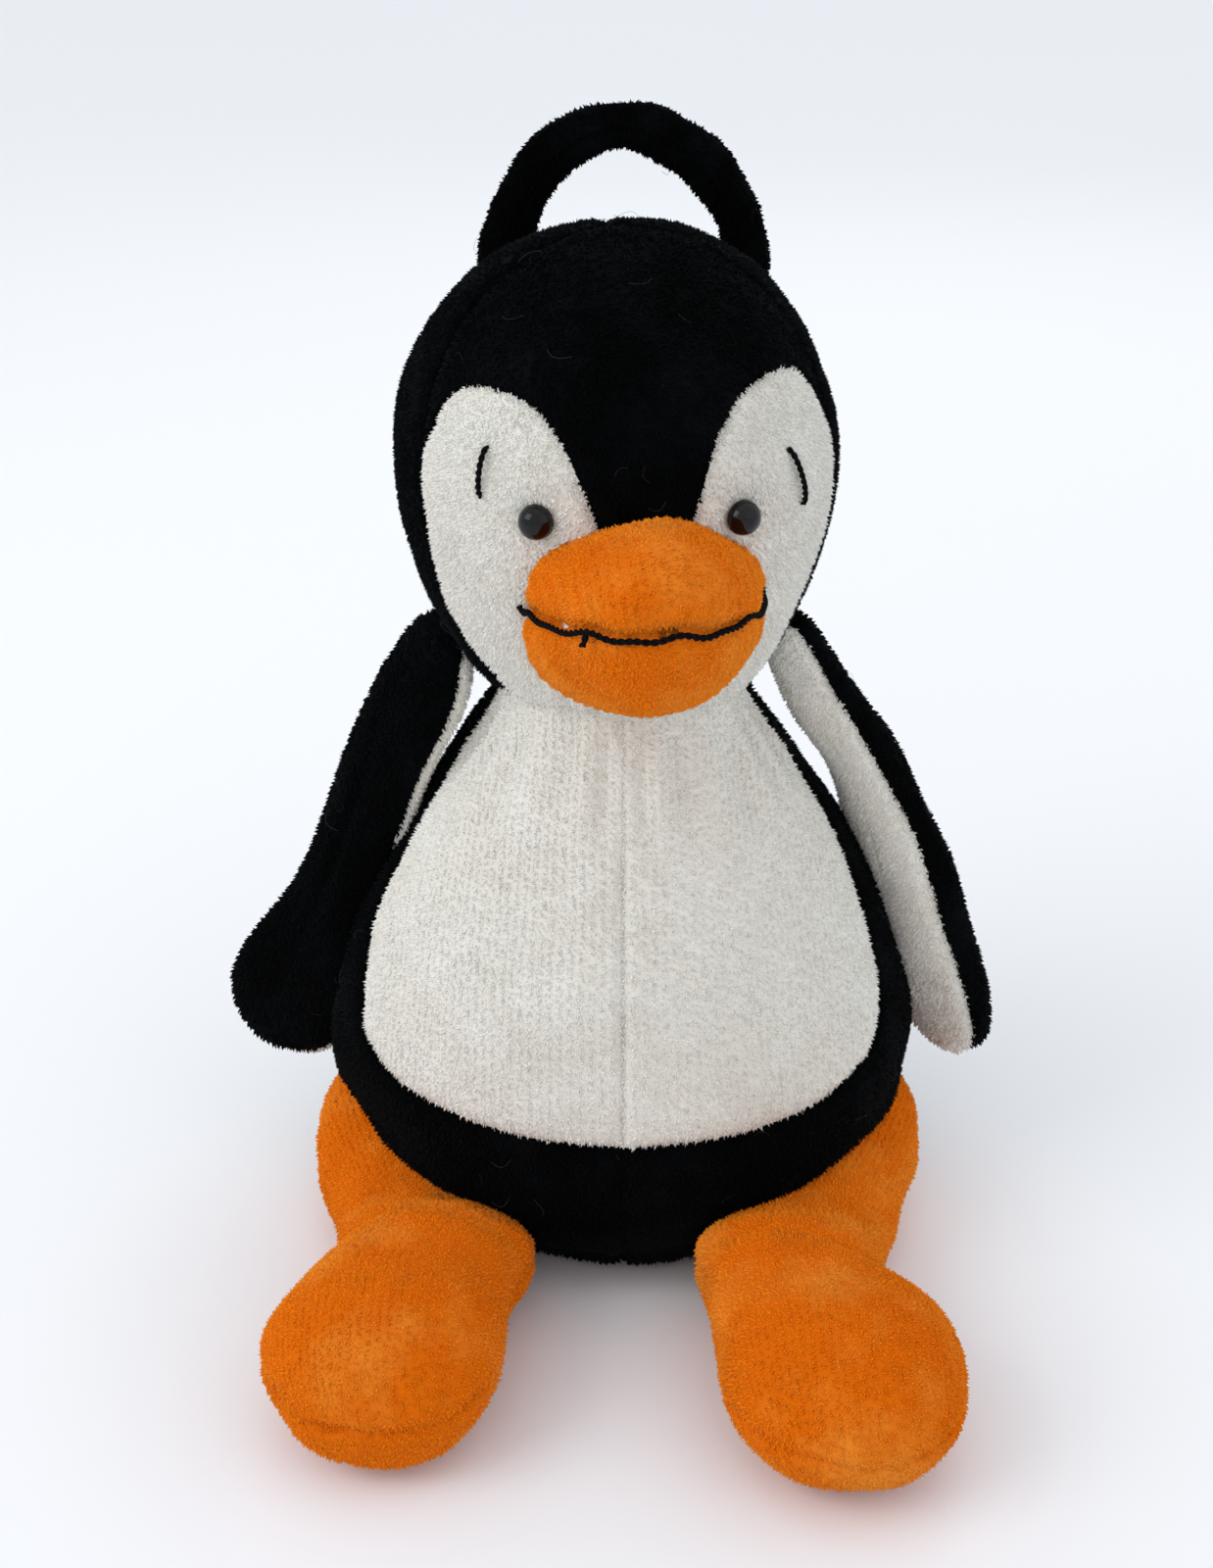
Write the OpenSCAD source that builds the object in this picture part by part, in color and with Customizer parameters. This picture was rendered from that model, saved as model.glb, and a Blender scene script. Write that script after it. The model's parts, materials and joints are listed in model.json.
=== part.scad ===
// Seated plush penguin: stuffed fabric body, turning head with a puffed beak and safety eyes,
// limp flippers, limp legs with puffed feet, and a fabric carrying loop behind the head.
// Origin: centre of the flat seat patch, on the plane the toy sits on. +Z is up, -Y is the front.

/* [Fabric] */
// Thickness of the sewn fabric panels
panel_t = 1.8; // [1.4:0.1:2.2]
// Gap between two panels at a seam
seam_gap = 0.5; // [0.4:0.1:0.8]
// Gap between parts that move against each other
play = 1.2; // [1:0.1:2]

/* [Body] */
// Height of the body's neck edge
body_h = 130; // [126:1:132]
// Radius of the round seat patch
seat_r = 38; // [30:1:38]

/* [Head] */
// Height of the head's middle, where it is widest
head_z = 196; // [192:1:200]
// Half width of the head
head_w = 52.5; // [48:0.5:56]
// Depth of the head in front of its middle
head_front = 52; // [48:0.5:56]
// Depth of the head behind its middle
head_back = 50; // [46:0.5:54]
// Height of the head above its middle
head_up = 54; // [50:0.5:58]
// Length of the egg shape below the middle, of which the neck opening cuts off the end
head_down = 70; // [66:0.5:74]
// Height of the head's neck edge
head_edge_z = 141; // [140:1:143]
// Angle by which the face is turned to the left
head_turn = 7; // [0:0.5:8]
// Angle by which the head is tipped to the right
head_tip = 1.5; // [0:0.5:3]

/* [Beak] */
// Half width of the beak
beak_w = 27; // [24:0.5:29]
// Height of the mouth's corners
mouth_z = 173.5; // [171:0.5:176]
// Rise of the beak from its corners to its tip
beak_lift = 7; // [4:0.5:9]
// Height of the upper beak above the mouth line
beak_up = 21.5; // [18:0.5:23]
// Height of the lower beak below the mouth line
beak_down = 27; // [22:0.5:28]
// Length of the beak in front of the face
beak_l = 35; // [30:0.5:38]

/* [Eyes] */
// Diameter of the eye domes
eye_d = 8; // [6:0.5:10]
// Distance of each eye from the middle of the face
eye_x = 23; // [21:0.5:25]
// Height of the eyes
eye_z = 194; // [192:0.5:197]

/* [Carrying loop] */
// Width of the fabric loop
loop_w = 12; // [9:0.5:13]
// Thickness of the fabric loop
loop_t = 6; // [4:0.5:6]

/* [Limbs] */
// Length of the left leg, as a share of its usual length
left_reach = 0.975; // [0.96:0.005:1.03]
// Length of the right leg, as a share of its usual length
right_reach = 1.025; // [0.96:0.005:1.03]
// Twist of the left flipper about its length
left_twist = -35; // [-40:1:40]
// Twist of the right flipper about its length
right_twist = 40; // [-40:1:40]
// Angle by which a leg swings up from the floor, with a little to spare
leg_raise = 12; // [0:1:14]

/* [Hidden] */
$fn = 48;

BLACK = [0.04, 0.045, 0.05];
WHITE = [0.93, 0.92, 0.87];
ORANGE = [0.95, 0.48, 0.08];
FILLING = [0.96, 0.96, 0.96];

fill_gap = 1.2;
fill_inset = panel_t + fill_gap;
neck_r = 25;
neck_gap = 3.5;
head_fill_z = head_edge_z + 10;
hip = [-12, 25];

// Body outline: height, half width, depth to the front, depth to the back
BODY = [
    [0, 44, 40, 40], [4, 50, 46, 46], [14, 59, 54, 53], [26, 68, 60, 58], [40, 74, 64, 60],
    [56, 75, 65, 60], [78, 69, 61, 56], [98, 58, 53, 48], [114, 47, 44, 42], [130, 36, 36, 37],
    [136, 33, 34, 35]
];
// Lower edge of the white belly: angle round from the front, height
BELLY_EDGE = [[0, 43], [30, 45.5], [50, 51], [60, 60], [66, 75], [74, 98], [82, 116], [85, 130]];
// Upper edge of the white cheeks: angle round from the front, angle of elevation
CHEEK_EDGE = [
    [0, -12], [11, -5], [13.7, 0], [15, 6], [17.5, 12.5], [22, 19], [28, 25], [40, 28.5], [54, 28],
    [61, 22], [67, 8]
];
// Leg: distance along it from front to back, middle's side offset and height, half width, half height
LEG = [
    [-143, 51, 18, 0, 0], [-142, 51, 18, 6, 5], [-138, 51, 18.5, 16.5, 11.5], [-130, 51, 19.5, 25, 17],
    [-116, 50, 20, 29, 19.4], [-98, 47.5, 19.5, 26, 18.5], [-84, 45.5, 18.5, 21.5, 16.5],
    [-72, 46, 19, 23, 17],
    [-56, 51, 20.5, 26, 19.5], [-40, 60, 20, 20.5, 17], [-24, 68, 19, 13, 13], [-16, 72.5, 18, 7.5, 8],
    [-13.5, 73, 18, 4, 4], [-13, 73, 18, 0, 0]
];
// Flipper: height, middle's side offset and front offset, half width, half thickness
FLIPPER = [
    [38.5, 93, -5, 0, 0], [40, 92.3, -5, 6, 3], [45, 90, -5, 13.5, 5.5], [54, 85.5, -5, 17, 6.5],
    [70, 77.5, -4, 15.5, 7], [90, 68.5, -2, 14, 6.5], [110, 59, 0, 14, 6.5], [128, 51, 1, 13, 6],
    [138, 46, 1, 9, 4.5], [141, 44.5, 1, 4, 2.5], [142, 44, 1, 0, 0]
];
// Middle line of the carrying loop, from its left end over the top to its right end
LOOP = [
    [0, -26, 48, 212], [1, -27, 43, 231], [2, -22, 38, 250], [3, -2, 36, 263], [4, 15, 36, 259],
    [5, 29, 38.5, 240], [6, 31, 45, 212]
];
HEAD_PIVOT_Z = 140;

// --- Curves through a few rows of numbers ---

// Slope of column k at row i
function slope(rows, i, k) =
    let (a = max(i - 1, 0), b = min(i + 1, len(rows) - 1))
    (rows[b][k] - rows[a][k]) / (rows[b][0] - rows[a][0]);

// Cubic from p to q over a step of length h, with slopes mp and mq, at share s
function cubic(s, h, p, q, mp, mq) =
    p * (2 * s ^ 3 - 3 * s ^ 2 + 1) + q * (3 * s ^ 2 - 2 * s ^ 3)
    + h * (mp * (s ^ 3 - 2 * s ^ 2 + s) + mq * (s ^ 3 - s ^ 2));

// Value of column k where the first column is t
function row_value(rows, t, k, i = 0) =
    (i < len(rows) - 2 && t > rows[i + 1][0]) ? row_value(rows, t, k, i + 1) :
    let (h = rows[i + 1][0] - rows[i][0], s = min(max((t - rows[i][0]) / h, 0), 1))
    cubic(s, h, rows[i][k], rows[i + 1][k], slope(rows, i, k), slope(rows, i + 1, k));

// Evenly spaced steps from a to b
function steps(a, b, n) = [for (i = [0 : n]) a + (b - a) * i / n];

// --- Closed solids from grids of points ---

// A grid's form: [rows, columns, closed round, first row is a point, last row is a point]
function point_at(form, r, c, base) =
    let (tip = (r == 0 && form[3]) || (r == form[0] && form[4]))
    base + r * (form[1] + 1) + (tip || (form[2] && c == form[1]) ? 0 : c);

// A quad as two triangles, less any side of no length
function two_triangles(a, b, c, d) = [
    for (face = [[a, b, c], [a, c, d]])
        if (face[0] != face[1] && face[1] != face[2] && face[2] != face[0]) face
];

// Faces of the grid's surface, seen from outside or from inside
function skin_faces(form, base, outside) = [
    for (r = [0 : form[0] - 1], c = [0 : form[1] - 1])
        let (
            a = point_at(form, r, c, base), b = point_at(form, r + 1, c, base),
            d = point_at(form, r, c + 1, base), e = point_at(form, r + 1, c + 1, base)
        )
        for (face = outside ? two_triangles(a, b, e, d) : two_triangles(a, d, e, b)) face
];

// Faces that close the open edges between the outer grid and the inner one
function rim_faces(form, inner) = [
    for (c = [0 : form[1] - 1], r = [0, form[0]])
        if (!(r == 0 ? form[3] : form[4]))
            let (
                a = point_at(form, r, c, 0), b = point_at(form, r, c + 1, 0),
                d = point_at(form, r, c + 1, inner), e = point_at(form, r, c, inner)
            )
            for (face = r == 0 ? two_triangles(a, b, d, e) : two_triangles(b, a, e, d)) face,
    for (r = [0 : form[0] - 1], c = [0, form[1]])
        if (!form[2])
            let (
                a = point_at(form, r, c, 0), b = point_at(form, r + 1, c, 0),
                d = point_at(form, r + 1, c, inner), e = point_at(form, r, c, inner)
            )
            for (face = c == 0 ? two_triangles(b, a, e, d) : two_triangles(a, b, d, e)) face
];

// A panel of cloth between an outer and an inner grid
module panel(form, outer, inner) {
    count = len(outer);
    polyhedron(
        points = concat(outer, inner),
        faces = concat(skin_faces(form, 0, true), skin_faces(form, count, false), rim_faces(form, count))
    );
}

// A filled shape, closed round, with a flat cover on each end that isn't a point
module filled(form, points) {
    ends = [
        if (!form[3]) [for (c = [0 : form[1] - 1]) point_at(form, 0, c, 0)],
        if (!form[4]) [for (c = [form[1] - 1 : -1 : 0]) point_at(form, form[0], c, 0)]
    ];
    polyhedron(points = points, faces = concat(skin_faces(form, 0, true), ends));
}

function unit(v) = v / norm(v);

// Rings round a path. across is the direction of the section's second half size
function rings(path, across, half_a, half_b, sides) = [
    for (k = [0 : len(path) - 1])
        let (
            along = unit(path[min(k + 1, len(path) - 1)] - path[max(k - 1, 0)]),
            out = unit(cross(across, along)), side = cross(along, out)
        )
        for (c = [0 : sides])
            path[k] + out * half_a * cos(360 * c / sides) + side * half_b * sin(360 * c / sides)
];

// --- Body ---

function body_row(z, k) = row_value(BODY, z, k);

// Point on the body at an angle round from the front and a height, set in by inset
function body_point(turn, z, inset) = [
    (body_row(z, 1) - inset) * sin(turn),
    -(body_row(z, cos(turn) > 0 ? 2 : 3) - inset) * cos(turn),
    z
];

// Half width of the body at depth y and height z, or 0 in front of it or behind it
function body_reach(y, z) =
    let (share = y / body_row(z, y < 0 ? 2 : 3))
    (z < 0 || abs(share) >= 1) ? 0 : body_row(z, 1) * sqrt(1 - share ^ 2);

belly_columns = steps(0.3, 83.5, 12);
side_columns = steps(0.3, 179.7, 24);
body_rows = steps(0, 1, 14);
bottom_z = 0.4;

function belly_grid(inset) = [
    for (s = body_rows, turn = belly_columns)
        let (low = row_value(BELLY_EDGE, turn, 1))
        body_point(turn, low + (body_h - low) * s, inset)
];

function side_grid(inset) = [
    for (s = body_rows, turn = side_columns)
        let (high = turn < 85 ? row_value(BELLY_EDGE, turn, 1) - seam_gap : body_h)
        body_point(turn, bottom_z + (high - bottom_z) * s, inset)
];

module belly_half() {
    color(WHITE)
        panel([14, 12, false, false, false], belly_grid(0), belly_grid(panel_t));
}

module side_half() {
    color(BLACK)
        panel([14, 24, false, false, false], side_grid(0), side_grid(panel_t));
}

module belly_right() { belly_half(); }
module belly_left() { mirror([1, 0, 0]) belly_half(); }
module body_side_right() { side_half(); }
module body_side_left() { mirror([1, 0, 0]) side_half(); }

module seat_panel() {
    color(BLACK)
        cylinder(r = seat_r, h = panel_t - 0.2);
}

module body_stuffing() {
    rows = steps(panel_t + 0.4, body_h - neck_gap - seam_gap, 12);
    points = [for (z = rows, turn = steps(0, 360, 28)) body_point(turn, z, fill_inset)];
    color(FILLING)
        filled([12, 28, true, false, false], points);
}

module neck_stuffing() {
    color(FILLING)
        translate([0, 0, body_h - neck_gap])
            cylinder(r = neck_r, h = head_edge_z + 4 - body_h + neck_gap);
}

// --- Head ---

// Turns the face a little to the left and tips the head a little to the right
module posed_head() {
    translate([0, 0, HEAD_PIVOT_Z])
        rotate([0, -head_tip, 0])
            rotate([0, 0, head_turn])
                translate([0, 0, -HEAD_PIVOT_Z])
                    children();
}

// Point on the head at an angle round from the front and an elevation, set in by inset
function head_point(turn, rise, inset) = [
    (head_w - inset) * cos(rise) * sin(turn),
    -((cos(turn) > 0 ? head_front : head_back) - inset) * cos(rise) * cos(turn),
    head_z + ((rise > 0 ? head_up : head_down) - inset) * sin(rise)
];

// Depth of the face at a side offset and a height
function face_y(x, z) =
    let (dz = (z - head_z) / (z > head_z ? head_up : head_down))
    -head_front * sqrt(max(1 - (x / head_w) ^ 2 - dz ^ 2, 0));

neck_rise = asin((head_edge_z - head_z) / head_down);
seam_rise = 0.5;
ear_turn = 67;

function cheek_top(turn) = row_value(CHEEK_EDGE, turn, 1);

// Grid on the head between two elevations for each angle
function head_grid(turns, low, high, rows, inset) = [
    for (s = steps(0, 1, rows), i = [0 : len(turns) - 1])
        head_point(turns[i], low[i] + (high[i] - low[i]) * s, inset)
];

module cheek_half() {
    turns = steps(0.4, ear_turn, 14);
    low = [for (turn = turns) neck_rise];
    high = [for (turn = turns) cheek_top(turn)];
    color(WHITE)
        difference() {
            panel(
                [14, 14, false, false, false],
                head_grid(turns, low, high, 14, 0), head_grid(turns, low, high, 14, panel_t)
            );
            at_eye()
                cylinder(r = 1.8, h = 12, center = true);
        }
}

module cheek_right() { posed_head() cheek_half(); }
module cheek_left() { posed_head() mirror([1, 0, 0]) cheek_half(); }

module head_crown() {
    turns = steps(-ear_turn, ear_turn, 26);
    low = [for (turn = turns) cheek_top(abs(turn)) + seam_rise];
    high = [for (turn = turns) 90];
    color(BLACK)
        posed_head()
            panel(
                [9, 26, false, false, true],
                head_grid(turns, low, high, 9, 0), head_grid(turns, low, high, 9, panel_t)
            );
}

module back_half() {
    turns = steps(ear_turn + 0.5, 179.7, 18);
    low = [for (turn = turns) neck_rise];
    high = [for (turn = turns) 90];
    color(BLACK)
        panel(
            [16, 18, false, false, true],
            head_grid(turns, low, high, 16, 0), head_grid(turns, low, high, 16, panel_t)
        );
}

module head_back_right() { posed_head() back_half(); }
module head_back_left() { posed_head() mirror([1, 0, 0]) back_half(); }

module head_stuffing() {
    rises = steps(asin((head_fill_z - head_z) / (head_down - fill_inset)), 90, 14);
    points = [for (rise = rises, turn = steps(0, 360, 28)) head_point(turn, rise, fill_inset)];
    color(FILLING)
        posed_head()
            difference() {
                filled([14, 28, true, false, true], points);
                for (side = [0, 1])
                    mirror([side, 0, 0])
                        at_eye()
                            translate([0, 0, -14])
                                cylinder(r = 7.5, h = 12);
            }
}

// --- Beak ---

// Point on the beak at an angle round its middle line and a share of the way to its tip
function beak_point(angle, share, inset) =
    let (
        wide = cos(90 * share), x = (beak_w - inset) * cos(angle) * wide,
        z = mouth_z + ((sin(angle) > 0 ? beak_up : beak_down) - inset) * sin(angle) * wide,
        out = sin(90 * share)
    )
    [x, face_y(x, z) - seam_gap - (beak_l - inset) * out, z + beak_lift * out];

// The same point laid back on the face
function beak_base(angle, share, inset) =
    let (p = beak_point(angle, share, inset), z = p[2] - beak_lift * sin(90 * share))
    [p[0], face_y(p[0], z) - seam_gap + 0.1, z];

module beak_panel(first, last) {
    angles = steps(first, last, 18);
    shares = steps(0, 1, 7);
    outer = [for (share = shares, angle = angles) beak_point(angle, share, 0)];
    inner = [for (share = shares, angle = angles) beak_point(angle, share, panel_t)];
    color(ORANGE)
        posed_head()
            panel([7, 18, false, false, true], outer, inner);
}

module beak_upper() { beak_panel(1.2, 178.8); }
module beak_lower() { beak_panel(181.2, 358.8); }

module beak_stuffing() {
    shares = steps(0, 1, 5);
    angles = steps(0, 360, 24);
    outer = [for (share = shares, angle = angles) beak_point(angle, max(share, 0.05), fill_inset)];
    inner = [for (share = shares, angle = angles) beak_base(angle, max(share, 0.05), fill_inset)];
    color(FILLING)
        posed_head()
            panel([5, 24, true, false, true], outer, inner);
}

module mouth_stitch() {
    yarn_r = 0.9;
    clear = yarn_r + 1;
    path = [
        for (angle = steps(6, 174, 22))
            let (x = -(beak_w + clear) * cos(angle), reach = (beak_l + clear) * sin(angle))
            [x, face_y(x, mouth_z) - seam_gap - reach, mouth_z + beak_lift * sin(angle)]
    ];
    color(BLACK)
        posed_head()
            filled([22, 8, true, false, false], rings(path, [0, 0, 1], yarn_r, yarn_r, 8));
}

// --- Eyes and brows ---

eye_spot = [eye_x, face_y(eye_x, eye_z), eye_z];
eye_turn = atan2(eye_x / head_w ^ 2, -eye_spot[1] / head_front ^ 2);
brow_x = 34.5;
brow_z = 201;
brow_l = 11;

// Frame on the right cheek at the eye, with +Z out of the face
module at_eye() {
    translate(eye_spot)
        rotate([90, 0, eye_turn])
            children();
}

// Snap-in eye: a glossy dome on a stem
module eye_half() {
    color(BLACK)
        at_eye() {
            intersection() {
                translate([0, 0, -0.6])
                    sphere(d = eye_d);
                translate([-eye_d, -eye_d, 0.3])
                    cube([2 * eye_d, 2 * eye_d, eye_d]);
            }
            translate([0, 0, -9])
                cylinder(r = 1.5, h = 9.5);
        }
}

// Washer that locks the stem behind the fabric
module washer_half() {
    color([0.85, 0.85, 0.82])
        at_eye()
            translate([0, 0, -4.2])
                difference() {
                    cylinder(r = 6, h = 1.4);
                    translate([0, 0, -1])
                        cylinder(r = 1.56, h = 4);
                }
}

// Short line of thread above the eye
module brow_half() {
    y = face_y(brow_x, brow_z) - 1;
    color(BLACK)
        translate([brow_x + 0.8, y, brow_z - brow_l / 2]) {
            cylinder(r = 0.7, h = brow_l, $fn = 16);
            for (z = [0, brow_l])
                translate([0, 0, z])
                    sphere(r = 0.7, $fn = 16);
        }
}

module eye_right() { posed_head() eye_half(); }
module eye_left() { posed_head() mirror([1, 0, 0]) eye_half(); }
module eye_washer_right() { posed_head() washer_half(); }
module eye_washer_left() { posed_head() mirror([1, 0, 0]) washer_half(); }
module brow_stitch_right() { posed_head() brow_half(); }
module brow_stitch_left() { posed_head() mirror([1, 0, 0]) brow_half(); }

// --- Carrying loop ---

module carry_loop() {
    path = [for (t = steps(0, 6, 30)) [for (k = [1, 2, 3]) row_value(LOOP, t, k)]];
    color(BLACK)
        filled([30, 10, true, false, false], rings(path, [0, 1, 0], loop_w / 2, loop_t / 2, 10));
}

// --- Flippers ---

// Point on a flipper at an angle round it and a height, pushed clear of the body's side.
// size is 1, or 0 at the two tips
function flipper_point(twist, angle, z, inset, size) =
    let (
        wide = size * (row_value(FLIPPER, z, 3) - inset) * sin(angle),
        thick = size * (row_value(FLIPPER, z, 4) - inset) * cos(angle),
        x = row_value(FLIPPER, z, 1) + thick * cos(twist) - wide * sin(twist),
        y = row_value(FLIPPER, z, 2) + thick * sin(twist) + wide * cos(twist)
    )
    [max(x, body_reach(y, min(z, body_h)) + play + inset), y, z];

flipper_rows = [38.5, 41, 46, 54, 66, 80, 95, 110, 124, 134, 139.5, 142];

function tip_size(rows, r) = r == 0 || r == len(rows) - 1 ? 0 : 1;

// Rows are drawn in by inset at both ends
function flipper_grid(twist, angles, inset) = [
    for (r = [0 : len(flipper_rows) - 1], angle = angles)
        let (mid = 90, z = mid + (flipper_rows[r] - mid) * (1 - inset / 50))
        flipper_point(twist, angle, z, inset, tip_size(flipper_rows, r))
];

module flipper_panel(twist, first, last) {
    angles = steps(first, last, 8);
    inset = panel_t * 0.8;
    panel([11, 8, false, true, true], flipper_grid(twist, angles, 0), flipper_grid(twist, angles, inset));
}

module flipper_outer(twist) {
    color(BLACK) flipper_panel(twist, -88, 88);
}

module flipper_lining(twist) {
    color(WHITE) flipper_panel(twist, 92, 268);
}

module flipper_batting(twist) {
    color(FILLING)
        filled([11, 14, true, true, true], flipper_grid(twist, steps(0, 360, 14), fill_inset));
}

module flipper_right_outer() { flipper_outer(right_twist); }
module flipper_right_lining() { flipper_lining(right_twist); }
module flipper_right_batting() { flipper_batting(right_twist); }
module flipper_left_outer() { mirror([1, 0, 0]) flipper_outer(left_twist); }
module flipper_left_lining() { mirror([1, 0, 0]) flipper_lining(left_twist); }
module flipper_left_batting() { mirror([1, 0, 0]) flipper_batting(left_twist); }

// --- Legs ---

// Half width of the body that a point of the leg meets while the leg swings about the hip
function body_reach_on_swing(y, z) =
    max([
        for (swing = [-leg_raise, -leg_raise / 2, 0, 12])
            let (dy = y - hip[0], dz = z - hip[1])
            body_reach(hip[0] + dy * cos(swing) - dz * sin(swing), hip[1] + dy * sin(swing) + dz * cos(swing))
    ]);

// Point on a leg at an angle round it from the top and a distance along it, pushed clear of the body.
// size is 1, or 0 at the two tips
function leg_point(reach, angle, along, inset, size) =
    let (
        x = row_value(LEG, along, 1) + size * (row_value(LEG, along, 3) - inset) * sin(angle),
        z = row_value(LEG, along, 2) + size * (row_value(LEG, along, 4) - inset) * cos(angle),
        y = along * reach
    )
    [max(x, body_reach_on_swing(y, z) + play + inset), y, z];

leg_rows = [-143, -141, -136, -128, -117, -106, -95, -84, -74, -62, -50, -38, -28, -20, -15, -13];

function leg_grid(reach, angles, inset) = [
    for (r = [0 : len(leg_rows) - 1], angle = angles)
        let (mid = -75, along = mid + (leg_rows[r] - mid) * (1 - inset / 66))
        leg_point(reach, angle, along, inset, tip_size(leg_rows, r))
];

module leg_panel(reach, first, last) {
    angles = steps(first, last, 11);
    color(ORANGE)
        panel([15, 11, false, true, true], leg_grid(reach, angles, 0), leg_grid(reach, angles, panel_t));
}

module leg_filling(reach) {
    color(FILLING)
        filled([15, 16, true, true, true], leg_grid(reach, steps(0, 360, 16), fill_inset));
}

module leg_right_upper() { leg_panel(right_reach, -88.5, 88.5); }
module leg_right_under() { leg_panel(right_reach, 91.5, 268.5); }
module leg_right_stuffing() { leg_filling(right_reach); }
module leg_left_upper() { mirror([1, 0, 0]) leg_panel(left_reach, -88.5, 88.5); }
module leg_left_under() { mirror([1, 0, 0]) leg_panel(left_reach, 91.5, 268.5); }
module leg_left_stuffing() { mirror([1, 0, 0]) leg_filling(left_reach); }

belly_left();
belly_right();
body_side_left();
body_side_right();
seat_panel();
body_stuffing();
neck_stuffing();
head_crown();
head_back_left();
head_back_right();
cheek_left();
cheek_right();
head_stuffing();
beak_upper();
beak_lower();
beak_stuffing();
mouth_stitch();
eye_left();
eye_right();
eye_washer_left();
eye_washer_right();
brow_stitch_left();
brow_stitch_right();
carry_loop();
flipper_left_outer();
flipper_left_lining();
flipper_left_batting();
flipper_right_outer();
flipper_right_lining();
flipper_right_batting();
leg_left_upper();
leg_left_under();
leg_left_stuffing();
leg_right_upper();
leg_right_under();
leg_right_stuffing();
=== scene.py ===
import json
import math

import bpy
import numpy as np
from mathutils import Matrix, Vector
from mathutils.kdtree import KDTree


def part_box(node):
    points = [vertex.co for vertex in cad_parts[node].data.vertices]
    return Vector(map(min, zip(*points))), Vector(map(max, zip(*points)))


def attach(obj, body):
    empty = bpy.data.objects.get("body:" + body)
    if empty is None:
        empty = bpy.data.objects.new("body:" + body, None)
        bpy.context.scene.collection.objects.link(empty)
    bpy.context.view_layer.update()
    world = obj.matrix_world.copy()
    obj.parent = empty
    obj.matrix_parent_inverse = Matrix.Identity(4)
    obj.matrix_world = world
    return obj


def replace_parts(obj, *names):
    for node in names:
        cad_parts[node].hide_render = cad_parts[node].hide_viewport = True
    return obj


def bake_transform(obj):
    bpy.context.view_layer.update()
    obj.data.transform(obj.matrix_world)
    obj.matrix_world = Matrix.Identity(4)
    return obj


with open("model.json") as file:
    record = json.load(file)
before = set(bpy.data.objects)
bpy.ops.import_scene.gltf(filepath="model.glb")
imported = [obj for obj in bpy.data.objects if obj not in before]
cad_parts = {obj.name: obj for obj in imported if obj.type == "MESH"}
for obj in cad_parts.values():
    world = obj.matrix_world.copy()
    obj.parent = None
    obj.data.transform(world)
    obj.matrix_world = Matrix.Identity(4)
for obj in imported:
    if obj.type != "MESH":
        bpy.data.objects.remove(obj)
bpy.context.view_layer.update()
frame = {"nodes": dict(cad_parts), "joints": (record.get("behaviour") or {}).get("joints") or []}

# Lengths are in millimetres until a mesh is made, and MM turns them into metres.
MM = 0.001
LEFT, RIGHT = -1, 1
SIDES = (("left", LEFT), ("right", RIGHT))


# ---------------------------------------------------------------- the frame's places

def box_of(*nodes):
    """Lowest and highest corner of some CAD nodes together, in millimetres."""
    corners = np.array([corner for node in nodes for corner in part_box(node)], float) / MM
    return corners.min(0), corners.max(0)


JOINTS = {joint["name"]: joint for joint in frame["joints"]}


def pivot_of(joint):
    return np.array(JOINTS[joint]["pos_m"], float) / MM


body_low, body_high = box_of("body_side_left", "body_side_right", "seat_panel")
head_low, head_high = box_of("head_crown", "head_back_left", "head_back_right")
neck_pivot = pivot_of("neck_turn")

NECK_EDGE = body_high[2]
BODY_HALF_WIDTH = (body_high[0] - body_low[0]) / 2
SEAT_RADIUS = box_of("seat_panel")[1][0]


# ---------------------------------------------------------------- numbers to shapes

def through(rows, t):
    """A smooth curve through rows, whose first column is the parameter."""
    rows = np.asarray(rows, float)
    x, y = rows[:, 0], rows[:, 1:]
    slope = np.zeros_like(y)
    slope[1:-1] = (y[2:] - y[:-2]) / (x[2:] - x[:-2])[:, None]
    slope[0] = (y[1] - y[0]) / (x[1] - x[0])
    slope[-1] = (y[-1] - y[-2]) / (x[-1] - x[-2])
    t = np.clip(np.atleast_1d(t), x[0], x[-1])
    i = np.clip(np.searchsorted(x, t, side="right") - 1, 0, len(x) - 2)
    step = (x[i + 1] - x[i])[:, None]
    s = ((t - x[i]) / (x[i + 1] - x[i]))[:, None]
    bend = (s**3 - 2 * s**2 + s) * step * slope[i] + (s**3 - s**2) * step * slope[i + 1]
    return (2 * s**3 - 3 * s**2 + 1) * y[i] + (3 * s**2 - 2 * s**3) * y[i + 1] + bend


def rise_between(low, high, value):
    """0 below low, 1 above high, and a smooth step between them."""
    s = np.clip((value - low) / (high - low), 0, 1)
    return s * s * (3 - 2 * s)


def hill(value, middle, width):
    return np.exp(-(((value - middle) / width) ** 2))


def ripple(points, size, seed):
    """Smooth noise, mostly from -1 to 1, with lumps about size across."""
    draw = np.random.default_rng(seed)
    total = np.zeros(len(points))
    for _ in range(14):
        way = draw.normal(size=3)
        way *= 2 * math.pi / (size * draw.uniform(1.3, 2.8) * np.linalg.norm(way))
        total += np.sin(points @ way + draw.uniform(0, 2 * math.pi))
    return total / 3.7


def turned(points, angle, axis, pivot):
    """Points turned by angle in degrees about the named axis through pivot."""
    c, s = math.cos(math.radians(angle)), math.sin(math.radians(angle))
    moved = points - pivot
    a, b = {"Y": (2, 0), "Z": (0, 1)}[axis]
    out = moved.copy()
    out[..., a] = moved[..., a] * c - moved[..., b] * s
    out[..., b] = moved[..., a] * s + moved[..., b] * c
    return out + pivot


def signed_turns(columns):
    """The angle of each column round a form, from the front, negative on the left."""
    turns = np.arange(columns) * 360 / columns
    return np.where(turns > 180, turns - 360, turns)


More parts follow.
